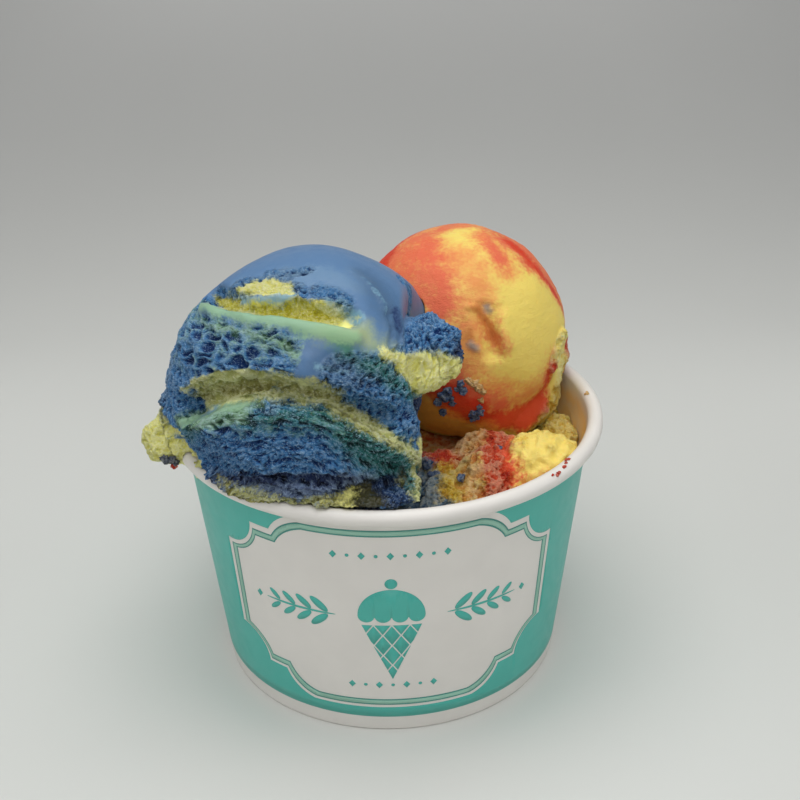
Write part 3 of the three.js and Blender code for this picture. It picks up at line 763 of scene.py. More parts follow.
def divided(mesh, wanted, cuts, smoothing=2):
    """The mesh with every edge between wanted corners cut, and its corners eased."""
    bm = bmesh.new()
    bm.from_mesh(mesh)
    edges = [edge for edge in bm.edges if all(wanted[vert.index] for vert in edge.verts)]
    bmesh.ops.subdivide_edges(bm, edges=edges, cuts=cuts, use_grid_fill=True)
    bmesh.ops.triangulate(bm, faces=[face for face in bm.faces if len(face.verts) > 4])
    for _ in range(smoothing):
        bmesh.ops.smooth_vert(bm, verts=bm.verts, factor=0.5, use_axis_x=True, use_axis_y=True, use_axis_z=True)
    bm.to_mesh(mesh)
    bm.free()
    return mesh


def note(mesh, **fields):
    """Keeps numbers, or rows of three, for each corner, for the material to read."""
    for name, values in fields.items():
        values = np.ascontiguousarray(values, np.float32)
        kind, field = ("FLOAT", "value") if values.ndim == 1 else ("FLOAT_VECTOR", "vector")
        mesh.attributes.new(name, kind, "POINT").data.foreach_set(field, values.ravel())


def closed_loop(bm, points):
    """A closed loop of edges through points of (across, up) in the plane of x and z."""
    verts = [bm.verts.new((x, 0, z)) for x, z in points]
    return verts + [bm.edges.new(pair) for pair in zip(verts, verts[1:] + verts[:1])]


def spun(outline, steps):
    """A solid spun round the cup's axis from a closed outline of (radius, height)."""
    bm = bmesh.new()
    geometry = closed_loop(bm, outline)
    bmesh.ops.spin(
        bm, geom=geometry, cent=(0, 0, 0), axis=(0, 0, 1), angle=math.tau, steps=steps, use_merge=True
    )
    bmesh.ops.remove_doubles(bm, verts=bm.verts, dist=SAME_PLACE)
    bmesh.ops.recalc_face_normals(bm, faces=bm.faces)
    return as_mesh([bm])


def cut(bm, at, way, clear=False):
    """Cuts across a plane everything in a mesh and, if asked, clears what lies beyond."""
    geometry = bm.verts[:] + bm.edges[:] + bm.faces[:]
    bmesh.ops.bisect_plane(bm, geom=geometry, dist=ON_CUT, plane_co=at, plane_no=way, clear_outer=clear)


def placed(mesh, name, material, smooth_shading=True):
    """A mesh in millimetres round the cup's axis as a finished piece in the row frame."""
    mesh.transform(Matrix.Translation(AXIS) @ Matrix.Scale(MM, 4))
    mesh.polygons.foreach_set("use_smooth", [smooth_shading] * len(mesh.polygons))
    mesh.name = name
    mesh.materials.append(material)
    piece = bpy.data.objects.new(name, mesh)
    bpy.context.scene.collection.objects.link(piece)
    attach(piece, "root")
    return piece


# ---------------------------------------------------------------- material tools


def put(tree, socket, value):
    """Links an output to an input, or sets a plain value on it."""
    if isinstance(value, bpy.types.NodeSocket):
        tree.links.new(value, socket)
    elif socket.type == "RGBA":
        socket.default_value = (*value, 1)
    else:
        socket.default_value = value


def node(tree, kind, inputs, **settings):
    """A new node with its settings made and its inputs linked or set."""
    made = tree.nodes.new(kind)
    for name, value in settings.items():
        setattr(made, name, value)
    for name, value in inputs.items():
        put(tree, made.inputs[name], value)
    return made


def noisy(tree, place, scale, detail, roughness=0.5):
    """Noise from 0 to 1, read at a place."""
    inputs = {"Vector": place, "Scale": scale, "Detail": detail, "Roughness": roughness}
    return node(tree, "ShaderNodeTexNoise", inputs).outputs["Fac"]


def reading(tree, name):
    """A number kept at the corners."""
    return node(tree, "ShaderNodeAttribute", {}, attribute_name=name).outputs["Fac"]


def speckle(tree, size, detail):
    """Noise from 0 to 1 with grains of a size in millimetres."""
    place = tree.nodes.get("Texture Coordinate") or tree.nodes.new("ShaderNodeTexCoord")
    return noisy(tree, place.outputs["Object"], 1 / (size * MM), detail)


def stepped(tree, value, low, high, first=0.0, last=1.0):
    """A smooth step of a value between low and high."""
    inputs = {"Value": value, "From Min": low, "From Max": high, "To Min": first, "To Max": last}
    return node(tree, "ShaderNodeMapRange", inputs, interpolation_type="SMOOTHSTEP").outputs[0]


def worked(tree, operation, *values):
    """Numbers put through one operation."""
    return node(tree, "ShaderNodeMath", dict(enumerate(values)), operation=operation).outputs[0]


def mixed(tree, amount, first, second, blend="MIX"):
    """Two colours mixed by an amount."""
    made = node(tree, "ShaderNodeMix", {0: amount, 6: first, 7: second}, data_type="RGBA", blend_type=blend)
    return made.outputs[2]


def new_material(name):
    """A material, its node tree and its shader."""
    material = bpy.data.materials.new(name)
    material.use_nodes = True
    return material, material.node_tree, material.node_tree.nodes["Principled BSDF"]


def finished(tree, shader, height, strength, distance, inputs):
    """Sets a shader's inputs and a bump of a height, strength and distance in millimetres."""
    bump = node(tree, "ShaderNodeBump", {"Height": height, "Strength": strength, "Distance": distance * MM})
    for name, value in {**inputs, "Normal": bump.outputs[0]}.items():
        put(tree, shader.inputs[name], value)


def ice_cream(
    name, base, pit, look=None, layers=(), roughness=0.34, frosted=0.5, melt=0.15, clouds=2.4,
    frost=(0.96, 0.94, 0.8), skin=0.03,
):
    """Ice cream: colours run into each other, holes get painted shade and crests painted highlight and frost.

    base is its own colour, and layers are (name, raggedness and softness of its edge in millimetres, strength)
    of the colours of a look that cover it. pit dims the holes, as painted shade; frost is the crests' colour, for
    frost and painted highlight both, and frosted how much of them has it; melt is how much light gets in; clouds is
    the size in millimetres at which the colours' edges wander; skin is the bump of the smooth parts, as a share of
    that of the torn parts.

    The corners keep a depth for each layer, and torn, from 0 to 1, relief, the height of the fine surface in
    millimetres, and drawn, their places in millimetres with the height measured across the tear. They may keep
    bright, which is over 0 where even the holes are pale; without it the holes are half as pale.
    """
    material, tree, shader = new_material(name)
    wide, fine = speckle(tree, clouds, 2), speckle(tree, clouds / 5, 2)
    wander = worked(tree, "MULTIPLY_ADD", fine, 1.1, worked(tree, "MULTIPLY_ADD", wide, 1.6, -1.35))
    colour = base
    for layer, ragged, soft, strength in layers:
        depth = worked(tree, "MULTIPLY_ADD", wander, ragged * 2, reading(tree, layer))
        colour = mixed(tree, stepped(tree, depth, -soft, soft, 0, strength), colour, getattr(look, layer))

    torn, relief = reading(tree, "torn"), reading(tree, "relief")
    drawn = node(tree, "ShaderNodeAttribute", {}, attribute_name="drawn").outputs["Vector"]
    grooves = node(tree, "ShaderNodeMapping", {"Vector": drawn, "Scale": (0.9, 0.9, 1.9)}).outputs[0]
    streaks, flecks = noisy(tree, grooves, 1.15, 4, 0.72), noisy(tree, grooves, 3, 3)
    bright = stepped(tree, reading(tree, "bright"), -0.5, 0.5)

    # Painted shade down in the holes: the colour laid on itself and dimmed, less so where it is bright
    dimming = mixed(tree, bright, pit, (1, 1, 1))
    shadowed = mixed(tree, 1, mixed(tree, 1, colour, colour, "MULTIPLY"), dimming, "MULTIPLY")
    deep = worked(tree, "ADD", stepped(tree, relief, -0.15, -0.9), stepped(tree, streaks, 0.5, 0.34, 0, 0.8))
    deep = worked(tree, "MINIMUM", deep, worked(tree, "MULTIPLY_ADD", bright, -0.45, 0.97))
    deep = worked(tree, "MULTIPLY", deep, stepped(tree, torn, 0, 0.6))

    # Up on the crests: painted highlight where the surface stands high, and frost in streaks and flecks, half way to
    # the frost colour
    lit = mixed(tree, 0.5, colour, mixed(tree, bright, frost, (1, 1, 0.75)))
    crest = stepped(tree, relief, -0.25, 0.1, 0, 0.4)
    crest = worked(tree, "ADD", crest, stepped(tree, streaks, 0.53, 0.68, 0, frosted))
    crest = worked(tree, "ADD", crest, stepped(tree, flecks, 0.56, 0.66, 0, frosted))
    crest = worked(tree, "MULTIPLY", worked(tree, "MINIMUM", crest, 0.95), torn)

    patchy = stepped(tree, wide, 0.35, 0.7, roughness, roughness + 0.1)
    height = worked(tree, "MULTIPLY_ADD", flecks, 0.6, streaks)
    height = worked(tree, "MULTIPLY", height, stepped(tree, torn, 0, 1, skin, 1))
    finished(tree, shader, height, 1, 0.9, {
        "Base Color": mixed(tree, crest, mixed(tree, deep, colour, shadowed), lit),
        "Roughness": worked(tree, "MULTIPLY_ADD", torn, 0.25, patchy),
        "Subsurface Weight": melt,
        "Subsurface Radius": (1, 0.7, 0.5),
        "Subsurface Scale": 0.6 * MM,
        "IOR": 1.35,
    })
    return material


def satin(tree, low, high):
    """Roughness between two values, varying in soft patches."""
    return stepped(tree, speckle(tree, 2.5, 3), 0.2, 0.8, low, high)


def coated_paper(name, tone, roughness=0.42, film=None):
    """Board with a satin coat, faintly cloudy, with the slightest fibre.

    Its corners may keep film, from 0 to 1, where painted reflected light, bounced off the yellow ice cream, warms it.
    """
    material, tree, shader = new_material(name)
    colour = mixed(tree, stepped(tree, speckle(tree, 9, 3), 0.3, 0.7), tuple(value * 0.965 for value in tone), tone)
    if film:
        # Painted reflected light: warm patches where the corners keep film
        patches = stepped(tree, speckle(tree, 6, 3), 0.25, 0.6, 0.5, 1)
        bounce_warmed = worked(tree, "MULTIPLY", reading(tree, "film"), patches)
        colour = mixed(tree, bounce_warmed, colour, film)
    coat = satin(tree, roughness - 0.04, roughness + 0.05)
    finished(tree, shader, speckle(tree, 0.5, 3), 0.12, 0.05, {"Base Color": colour, "Roughness": coat})
    return material


def ink(name, tone):
    """Printed ink: the board's coat shows through it."""
    material, tree, shader = new_material(name)
    worn = stepped(tree, speckle(tree, 6, 4), 0.3, 0.75)
    colour = mixed(tree, worn, tone, tuple(min(1, value * 1.05 + 0.004) for value in tone))
    coat = satin(tree, 0.36, 0.46)
    finished(tree, shader, speckle(tree, 0.5, 3), 0.1, 0.05, {"Base Color": colour, "Roughness": coat})
    return material


# ---------------------------------------------------------------- cup


def arc(middle, radius, first, last, steps):
    """Points on an arc between two angles in degrees."""
    angles = np.radians(np.linspace(first, last, steps + 1))
    return [(middle[0] + radius * math.cos(a), middle[1] + radius * math.sin(a)) for a in angles]


class GELATO_OT_cup_wall(bpy.types.Operator):
    """Spin the paper wall, with its rolled bead and folded foot"""

    bl_idname = "gelato.cup_wall"
    bl_label = "Cup Wall"

    def execute(self, context):
        cup = context.scene.paper_cup
        paper, bead, hem = cup.paper / MM, cup.bead_radius / MM, cup.hem_height / MM
        base, thick = cup.base_radius / MM, cup.hem_thickness / MM
        centre, level = RIM_RADIUS - bead, CUP_HEIGHT - bead
        meeting = math.degrees(math.acos((centre - wall_radius(level)) / bead)) - 180
        # The foot is folded inwards with rounded edges, and the hem's top is eased into the wall
        fold, ease = 0.55, 0.4
        outer, inner = (2, hem, 20, 40, 52, 56.5), (55.5, 50, 30, hem + ease)
        section = [
            *arc((base - fold, fold), fold, -90, 0, 6),
            *[(wall_radius(height), height) for height in outer],
            *arc((centre, level), bead, meeting, 180, 30),
            *[(wall_radius(height) - paper, height) for height in inner],
            *arc((wall_radius(hem) - thick + ease, hem), ease, 90, 180, 4),
            *arc((base - thick + fold, fold), fold, 180, 270, 6),
        ]
        mesh = spun(section, cup.steps)
        points, outward = corners(mesh)
        # The bead is a little uneven
        near_bead = smooth(points[:, 2], CUP_HEIGHT - 3.4, CUP_HEIGHT - 2)
        bead_wave = 0.045 * grain(points, (5, 5, 2), 2)
        points += outward * (near_bead * bead_wave)[:, None]
        points[:, 2] = np.clip(points[:, 2], 0, CUP_HEIGHT)
        move_corners(mesh, points)
        # Painted reflected light: the inside, below the bead and at the right of the scoops, is warmed by light
        # bounced off the yellow ice cream
        inside = wall_radius(points[:, 2]) - np.hypot(points[:, 0], points[:, 1]) > paper / 2
        note(mesh, film=(inside & (points[:, 2] < CUP_HEIGHT - 2.4)) * smooth(points[:, 0], 0, 25))
        board = coated_paper("paper_board", cup.paper_tint, film=cup.bounced_light_tint)
        piece = placed(mesh, "cup_wall_paper", board)
        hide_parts("cup_wall")
        base_material = coated_paper("base_board", cup.paper_tint, 0.5)
        base_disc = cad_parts["cup_base"]
        base_disc.data.materials.clear()
        base_disc.data.materials.append(base_material)
        return {"FINISHED"}


# ---------------------------------------------------------------- print

# The lines of the plaque's frame, each between two distances in from the plaque's edge
FRAME_LINES = [(1.1, 1.4), (1.42, 2.38), (2.4, 2.72)]


def plaque_outline(inset, slip=0.0):
    """The plaque's outline as (across, height), drawn in from its edge. It is a little wider at the top."""
    marks = bpy.context.scene.cup_print
    rounding, scoop = marks.notch_radius / MM, marks.scoop / MM + 0.6 * inset
    corner, side, step = marks.corner / MM, marks.half_width / MM - inset, marks.shoulder / MM - inset
    crown = 0.27

    def quarter(rise):
        low, high = (math.degrees(math.asin((rounding - drop) / rounding)) for drop in (rise + crown, crown))
        middle = marks.notch / MM - 0.45 * inset - rounding * math.cos(math.radians(low))
        curve = arc((middle, step + rise + crown - rounding), rounding, high, low, 12)
        first, last = (math.degrees(math.asin(lean / scoop)) for lean in (inset, corner - side))
        return curve + arc((corner, step + inset), scoop, 180 + first, 270 - last, 16)

    top, foot = quarter(marks.top_rise / MM), quarter(marks.foot_rise / MM)
    half = top + [(x, -y) for x, y in foot[::-1]]
    loop = half + [(-x, y) for x, y in half[::-1]]
    return [(x * (1 + marks.taper * y), y + marks.middle / MM - slip) for x, y in loop]


def flat(loops):
    """A flat shape between closed loops of (across, up), facing -Y."""
    bm = bmesh.new()
    for loop in loops:
        closed_loop(bm, loop)
    bmesh.ops.triangle_fill(bm, use_beauty=True, use_dissolve=False, edges=bm.edges, normal=(0, -1, 0))
    return bm


def wrapped(bms, film, lift=0.02, strip=1.1):
    """Flat shapes cut into upright strips, given a thickness and bent round the cup's wall, lifted a little."""
    whole = bmesh.new()
    whole.from_mesh(as_mesh(bms))
    reach = max(abs(vert.co.x) for vert in whole.verts)
    for x in np.arange(-reach + strip / 2, reach, strip):
        cut(whole, (x, 0, 0), (1, 0, 0))
    for z in (20, 40):
        cut(whole, (0, 0, z), (0, 0, 1))
    bmesh.ops.recalc_face_normals(whole, faces=whole.faces)
    bmesh.ops.solidify(whole, geom=whole.faces[:], thickness=film)
    bmesh.ops.recalc_face_normals(whole, faces=whole.faces)
    back = max(vert.co.y for vert in whole.verts)
    for vert in whole.verts:
        radius = wall_radius(vert.co.z)
        angle = vert.co.x / radius
        out = radius + lift + (back - vert.co.y)
        vert.co = (out * math.sin(angle), -out * math.cos(angle), vert.co.z)
    return as_mesh([whole])


def leaf(across, up, half_length, half_width, lean=0, segments=24):
    """A filled oval that leans by an angle in degrees, facing -Y. With four segments it is a diamond."""
    bm = bmesh.new()
    shape = Matrix.Translation((across, 0, up)) @ Matrix.Rotation(math.radians(-lean), 4, "Y")
    shape = shape @ Matrix.Diagonal((half_length, 1, half_width, 1)) @ Matrix.Rotation(math.radians(90), 4, "X")
    bmesh.ops.create_circle(bm, cap_ends=True, segments=segments, radius=1, matrix=shape)
    return bm


def waffle(across, top, width, depth):
    """A cone's waffle: small lozenges with gaps between, cut to a triangle that points down."""
    bm = bmesh.new()
    lozenge, gap = (0.86, 1, 1.25, 1), 0.22
    turned = Matrix.Translation((across, 0, top)) @ Matrix.Diagonal(lozenge)
    turned = turned @ Matrix.Rotation(math.radians(45), 4, "Y") @ Matrix.Rotation(math.radians(90), 4, "X")
    bmesh.ops.create_grid(bm, x_segments=12, y_segments=12, size=width * 1.5, matrix=turned)
    inset = bmesh.ops.inset_individual(bm, faces=bm.faces[:], thickness=gap)
    bmesh.ops.delete(bm, geom=inset["faces"], context="FACES_ONLY")
    half = width / 2
    slope = Vector((depth, 0, half)).normalized()
    cut(bm, (across, 0, top), (0, 0, 1), clear=True)
    for side in (1, -1):
        cut(bm, (across + side * half, 0, top), (side * slope.x, 0, -slope.z), clear=True)
    loose = [vert for vert in bm.verts if not vert.link_faces]
    bmesh.ops.delete(bm, geom=loose, context="VERTS")
    return bm


class GELATO_OT_cup_print(bpy.types.Operator):
    """Print the band, the plaque's frame and its motif on the wall, as films of ink"""

    bl_idname = "gelato.cup_print"
    bl_label = "Cup Print"

    def execute(self, context):
        marks = context.scene.cup_print
        film, middle = marks.film / MM, marks.middle / MM
        foot, top = marks.band_foot / MM, marks.band_top / MM
        ends = [(math.pi * wall_radius(z) - 0.02, z) for z in np.linspace(foot, top, 9)]
        sheet = ends + [(-x, z) for x, z in ends[::-1]]
        band, pale = ink("band_ink", marks.band_tint), ink("pale_line_ink", marks.line_tint)
        hairline = ink("hairline_ink", marks.hairline_tint)
        placed(wrapped([flat([sheet, plaque_outline(0)])], film), "printed_band", band)
        # The frame: a hairline, the wide pale line and another hairline, each between two insets
        outer, wide, within = ([plaque_outline(inset, marks.slip / MM) for inset in pair] for pair in FRAME_LINES)
        placed(wrapped([flat(wide)], film), "frame_wide_line", pale)
        placed(wrapped([flat(outer), flat(within)], film), "frame_hairlines", hairline)
        placed(wrapped(self.motif(middle), film, strip=0.9), "plaque_motif", band)
        return {"FINISHED"}

    def motif(self, middle):
        """An ice cream cone between two sprigs, with a row of dots and diamonds above and below."""
        radius, scallop, foot = 7.0, 1.75, middle + 0.6
        scoop = arc((0, foot), radius, 180, 0, 40)
        for place in (3, 1, -1, -3):
            scoop += arc((place * scallop, foot), scallop, 0, -180, 12)[1:-1]
        shapes = [flat([scoop]), leaf(0, middle + 9.1, 1.3, 1.3), waffle(0, middle - 1.9, 12.5, 15)]
        stem_level, stem_middle, leaf_lean = middle + 0.3, 19.8, 42
        for side in (-1, 1):
            shapes.append(leaf(side * stem_middle, stem_level, 8.2, 0.28))
            for k in range(4):
                along, size = side * (14.6 + 3.5 * k), 2.5 - 0.28 * k
                for up in (-1, 1):
                    level = stem_level + up * (0.5 + 0.62 * size)
                    shapes.append(leaf(along + side * 0.6, level, size, 0.36 * size, side * up * leaf_lean))
            shapes.append(leaf(side * 30, stem_level, 0.8, 1, segments=4))
        for level, count in ((middle + 16.2, 9), (middle - 18.6, 7)):
            for k in range(count):
                across = (k - (count - 1) / 2) * 2.9
                diamond, dot = (0.75, 0.95, 0, 4), (0.4, 0.4, 0, 16)
                shapes.append(leaf(across, level, *(dot if k % 2 else diamond)))
        return shapes


class GELATO_OT_side_seam(bpy.types.Operator):
    """Lay the wall's overlapped side seam down the back"""

    bl_idname = "gelato.side_seam"
    bl_label = "Side Seam"

    def execute(self, context):
        marks = context.scene.cup_print
        ink_foot, film = marks.band_foot / MM, marks.film / MM
        half, foot, top, lap = 5.5, 0.9, CUP_HEIGHT - 3.9, 0.16
        paper = [(-half, foot), (half, foot), (half, top), (-half, top)]
        inked = [(-half, ink_foot), (half - 0.1, ink_foot), (half - 0.1, top), (-half, top)]
        for outline, thickness, lift, name, material in (
            (paper, lap, 0.02, "seam_paper", "paper_board"),
            (inked, film, lap + 0.02, "seam_ink", "band_ink"),
        ):
            mesh = wrapped([flat([outline])], thickness, lift)
            mesh.transform(Matrix.Rotation(math.pi, 4, "Z"))
            placed(mesh, name, bpy.data.materials[material])
        return {"FINISHED"}


# ---------------------------------------------------------------- ice cream


class GELATO_OT_blue_scoop(bpy.types.Operator):
    """Mould the torn blue scoop with its flap and the blob squeezed over the rim"""

    bl_idname = "gelato.blue_scoop"
    bl_label = "Blue Scoop"

    def execute(self, context):
        look = context.scene.blue_scoop
        rough, clear, closest = 0.35, 0.5, 0.12
        body = ball(7, lambda units: inside_cup(BLUE_CENTRE + units * blue_reach(units)[:, None], rough))
        rolls = [self.roll(*place, seed) for seed, place in enumerate(FOOT_ON_RIM)]
        flap = lump(**FLAP)
        for vert in flap.verts:
            vert.co.y += FLAP_LEAN * (vert.co.z - FLAP["middle"][2])
        mesh = skinned(as_mesh([body, flap, lump(**BLOB), lump(**HEEL), *rolls]), look.voxel / MM)
        mesh = self.divided_tear(mesh)

        # Near the ball's own skin, the corners are set right on it
        points, _ = corners(mesh)
        units, away = seen_from(BLUE_CENTRE, points)
        skin = blue_reach(units) + felt(BLUE_FINE_FORMS, units, BLUE_RADIUS)
        near = 1 - smooth(np.abs(away - skin), 0.9, 1.9)
        points = BLUE_CENTRE + units * (away + (skin - away) * near)[:, None]
        move_corners(mesh, points)
        over_rim = self.over_rim(points)[:, None]
        points = np.where(over_rim, off_bead(points, rough), inside_cup(points, clear))
        move_corners(mesh, points)

        # The fine surface, shallower where it is yellow, over slower waves
        points, outward = corners(mesh)
        torn = self.torn(points, units, away)
        drawn = self.drawn(points, units)
        depths = {name: stroked(strokes, units, BLUE_RADIUS) for name, strokes in BLUE_ZONES.items()}
        height, ridge = self.relief(points, drawn, units, away, look)
        yellowish = np.maximum(depths["yellow"], depths["olive"])
        relief = height * torn * (1 - 0.3 * smooth(yellowish, -0.4, 0.8))
        slow = 0.35 * torn * grain(points, 3.5, 2, 6) + 0.03 * grain(points, 2, 2, 3)
        points = points + outward * (relief + slow)[:, None]
        points = np.where(over_rim, off_bead(points, closest), inside_cup(points, closest))
        points[:, 0] = np.maximum(points[:, 0], LEFT_LIMIT)
        move_corners(mesh, points)

        depths["mint"] = np.maximum(depths["mint"], ridge)
        self.colour_blob(points, away, depths)
        depths["bright"] = np.max([depths["yellow"], depths["olive"], depths["cream"], depths["tan"] - 0.6], 0)
        depths["dome"] = 3 * (0.5 - torn)
        # Where the painted shade is darkest, the surface is smoother and glossier: it has less frost and less deep
        # holes
        in_painted_shade = np.maximum(0.45 * smooth(depths["navy_shade"], -0.5, 1), 0.92 * smooth(depths["olive_shade"], -0.6, 0.6))
        note(mesh, **depths, torn=torn * (1 - in_painted_shade), relief=relief, drawn=drawn)
        material = ice_cream(
            "blue_ice_cream", look.torn, look.pit, look, BLUE_LAYERS, frosted=0.65, melt=0.1, frost=(0.6, 0.8, 0.98)
        )
        piece = placed(mesh, "blue_scoop", material)
        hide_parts("scoop_blue")
        return {"FINISHED"}

    def roll(self, around, reach, seed):
        """A bit of the scoop's foot, lying on the bead. Those that reach further out are lower and thicker."""
        turn = math.radians(around)
        out = np.array((math.sin(turn), -math.cos(turn), 0))
        along, across, level = 4, 3.4, 60.9
        low = smooth(reach, 46.4, 49.6)
        middle = (reach - across) * out + np.array((0, 0, level - 0.5 * low))
        return lump(middle, (along, across, 1.1 + 0.3 * low), 4, turn=around, square=2.2, ragged=0.7, seed=seed)

    def divided_tear(self, mesh):
        """The mesh with the torn parts that can be seen divided, more finely on the side of the front."""
        for side, cuts in ((1, 2), (-1, 1)):
            points, outward = corners(mesh)
            seen = self.torn(points, *seen_from(BLUE_CENTRE, points)) > 0.25
            depth, back = 9, 4
            seen &= (points[:, 2] > CUP_HEIGHT - depth) & (points[:, 1] < back)
            mesh = divided(mesh, seen & (side * (outward @ FRONT) > 0.05), cuts)
        return mesh

    def over_rim(self, points):
        """What lies on the rim or hangs over it: the foot at the front and left, and the blob."""
        x, y, z = points.T
        foot = (np.hypot(x, y) > 42) & (np.degrees(np.arctan2(x, -y)) < 12) & (z > CUP_HEIGHT - 1.5)
        return foot | (x < -40)

    def proud(self, away):
        """Where the flap, blob and heel stand out from the ball, 0 to 1."""
        return smooth(away, BLUE_RADIUS + 2.2, BLUE_RADIUS + 3.6)

    def torn(self, points, units, away):
        """How torn the surface is, 0 to 1: all of what stands out from the ball is, a little less at the left."""
        body = np.clip(felt(BLUE_TORN, units, BLUE_RADIUS), 0, 1)
        return np.maximum(body, self.proud(away) * np.where(points[:, 0] > -8, 1, 0.75))

    def under_edge(self, units):
        """Where the lower lobe is, below the crevice."""
        longitude = np.degrees(np.arctan2(units[:, 0], -units[:, 1]))
        return np.degrees(np.arcsin(units[:, 2])) < np.interp(longitude, *np.array(LOBE_EDGE).T)

    def drawn(self, points, units):
        """Places whose height is measured across the tear: from the lobe's edge, or from the gash."""
        below, above = (nearest(units, line)[0] * BLUE_RADIUS for line in (LOBE_EDGE, GASH_LIP))
        layer = np.where(self.under_edge(units), -below, above)
        stands_out = np.linalg.norm(points - BLUE_CENTRE, axis=1) > BLUE_RADIUS + 2
        return np.stack((points[:, 0], points[:, 1], np.where(stands_out, points[:, 2], layer)), 1)

    def relief(self, points, drawn, units, away, look):
        """The fine surface: holes in the left tear, thin crests drawn along the lobe, crumb elsewhere.

        Also gives how deep inside the crests between the holes each point is, for their colour.
        """
        pit, crumb = look.pit_depth / MM, look.crumb_depth / MM
        bend = 0.6 * np.stack([grain(points, 2.2, 1, seed) for seed in (3.1, 7.7, 5.3)], 1)
        fray = 0.25 * np.stack([grain(points, 0.8, 1, seed) for seed in (1.1, 2.7, 6.3)], 1)
        bent = drawn + bend
        frayed = bent + fray

        holed = np.clip(felt(BLUE_HOLED, units, BLUE_RADIUS), 0, 1)
        lobe = self.under_edge(units) * (1 - holed) * (1 - self.proud(away))
        other = (1 - holed) * (1 - lobe)

        sponge = holes(bent + 0.5 * (bent - drawn), (4.6, 4.6, 1.9), 2, 0.48) * (0.8 + 0.5 * grain(points, 3, 1, 4.4))
        crests, long = holes(frayed, (2.8, 2.8, 1), 4), holes(bent, (7, 7, 1.5), 1)
        tufts, fine = holes(frayed, 1.8, 8), holes(frayed, (1, 1, 0.7), 5)
        height = -holed * (sponge * (pit + crumb * fine) + 0.4 * crumb * (1 - sponge) * crests)
        height -= lobe * crumb * (0.9 * long + 1.1 * crests + 0.9 * fine)
        height -= other * crumb * (1.5 * tufts + fine)
        height += crumb * 0.5 * grain(points, 0.5, 1, 1) * (1 - holed * (1 - sponge))
        ridge = holed * (0.1 - sponge) + FAR_OUT * (holed < 0.3) - 0.7 * (1 - smooth(units[:, 2], 0.5, 0.72))
        return height, ridge

    def colour_blob(self, points, away, depths):
        """The blob squeezed over the rim is yellow, and so is the foot that lies on it."""
        x, y, z = points.T
        top = 63.6 + 1.2 * grain(points, 3.5, 2, 2) - 2 * smooth(x, -43, -40)
        blob = np.where((x < -38) & (z < 67), np.maximum(away - BLUE_RADIUS - 2.4, top - z), FAR_OUT)
        for name in depths:
            depths[name] = np.where(blob > 0, np.minimum(depths[name], -blob), depths[name])
        depths["yellow"] = np.where(blob > 0, np.maximum(depths["yellow"], blob), depths["yellow"])
        below, out = 61.3 + 1.1 * smooth(x, -20, -6) - z, np.hypot(x, y) - 42.5
        foot = np.min([below, out, (-7 - x) / 2, (x + 33) / 2], 0)
        depths["yellow"] = np.maximum(depths["yellow"], np.clip(foot, FAR_OUT, -0.4) - 0.15 * (x < -24))
        depths["tan"] = np.maximum(depths["tan"], np.minimum(foot, 0.6))


class GELATO_OT_yellow_scoop(bpy.types.Operator):
    """Mould the yellow scoop, marbled red, with its ragged collar"""

    bl_idname = "gelato.yellow_scoop"
    bl_label = "Yellow Scoop"

    def execute(self, context):
        look = context.scene.yellow_scoop
        mesh = as_mesh([ball(7, lambda units: YELLOW_CENTRE + units * yellow_reach(units)[:, None])])
        units, torn = self.torn(mesh)
        # The collar is divided where it faces the front and sides
        mesh = divided(mesh, (torn > 0.15) & (units[:, 1] < 0.3), 1, 0)
        units, torn = self.torn(mesh)
        skin = yellow_reach(units) + felt(YELLOW_FINE_FORMS, units, YELLOW_RADIUS)
        points = YELLOW_CENTRE + units * skin[:, None]
        mottle = 0.1 * grain(points, 1.4, 2, 2) + 0.1 * grain(points, 5, 2, 4)
        crumb = -0.6 * holes(points, (2.4, 2.4, 1.3), 1) - 0.4 * holes(points, 0.9, 3)
        crumb += 0.6 * grain(points, 2.6, 2, 7)
        relief = torn * crumb + mottle
        points = points + units * relief[:, None]
        off_blue, off_wall = 0.2, 0.15
        points = pushed_out(points, BLUE_CENTRE, blue_reach, off_blue)
        move_corners(mesh, inside_cup(points, off_wall))
        depths = {name: stroked(strokes, units, YELLOW_RADIUS) for name, strokes in YELLOW_ZONES.items()}
        for name, deepest in YELLOW_DEEPEST.items():
            depths[name] = np.minimum(depths[name], deepest)
        note(mesh, **depths, torn=torn, relief=relief, drawn=points)
        material = ice_cream(
            "yellow_ice_cream", look.yellow, (1, 0.95, 0.9), look, YELLOW_LAYERS,
            roughness=0.42, frosted=0.2, melt=0.25, clouds=4, skin=0.24,
        )
        piece = placed(mesh, "yellow_scoop", material)
        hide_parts("scoop_yellow")
        return {"FINISHED"}

    def torn(self, mesh):
        """Each corner's direction from the scoop's middle and how torn the surface is there, 0 to 1."""
        units, _ = seen_from(YELLOW_CENTRE, corners(mesh)[0])
        return units, np.clip(felt(YELLOW_TORN, units, YELLOW_RADIUS), 0, 1)


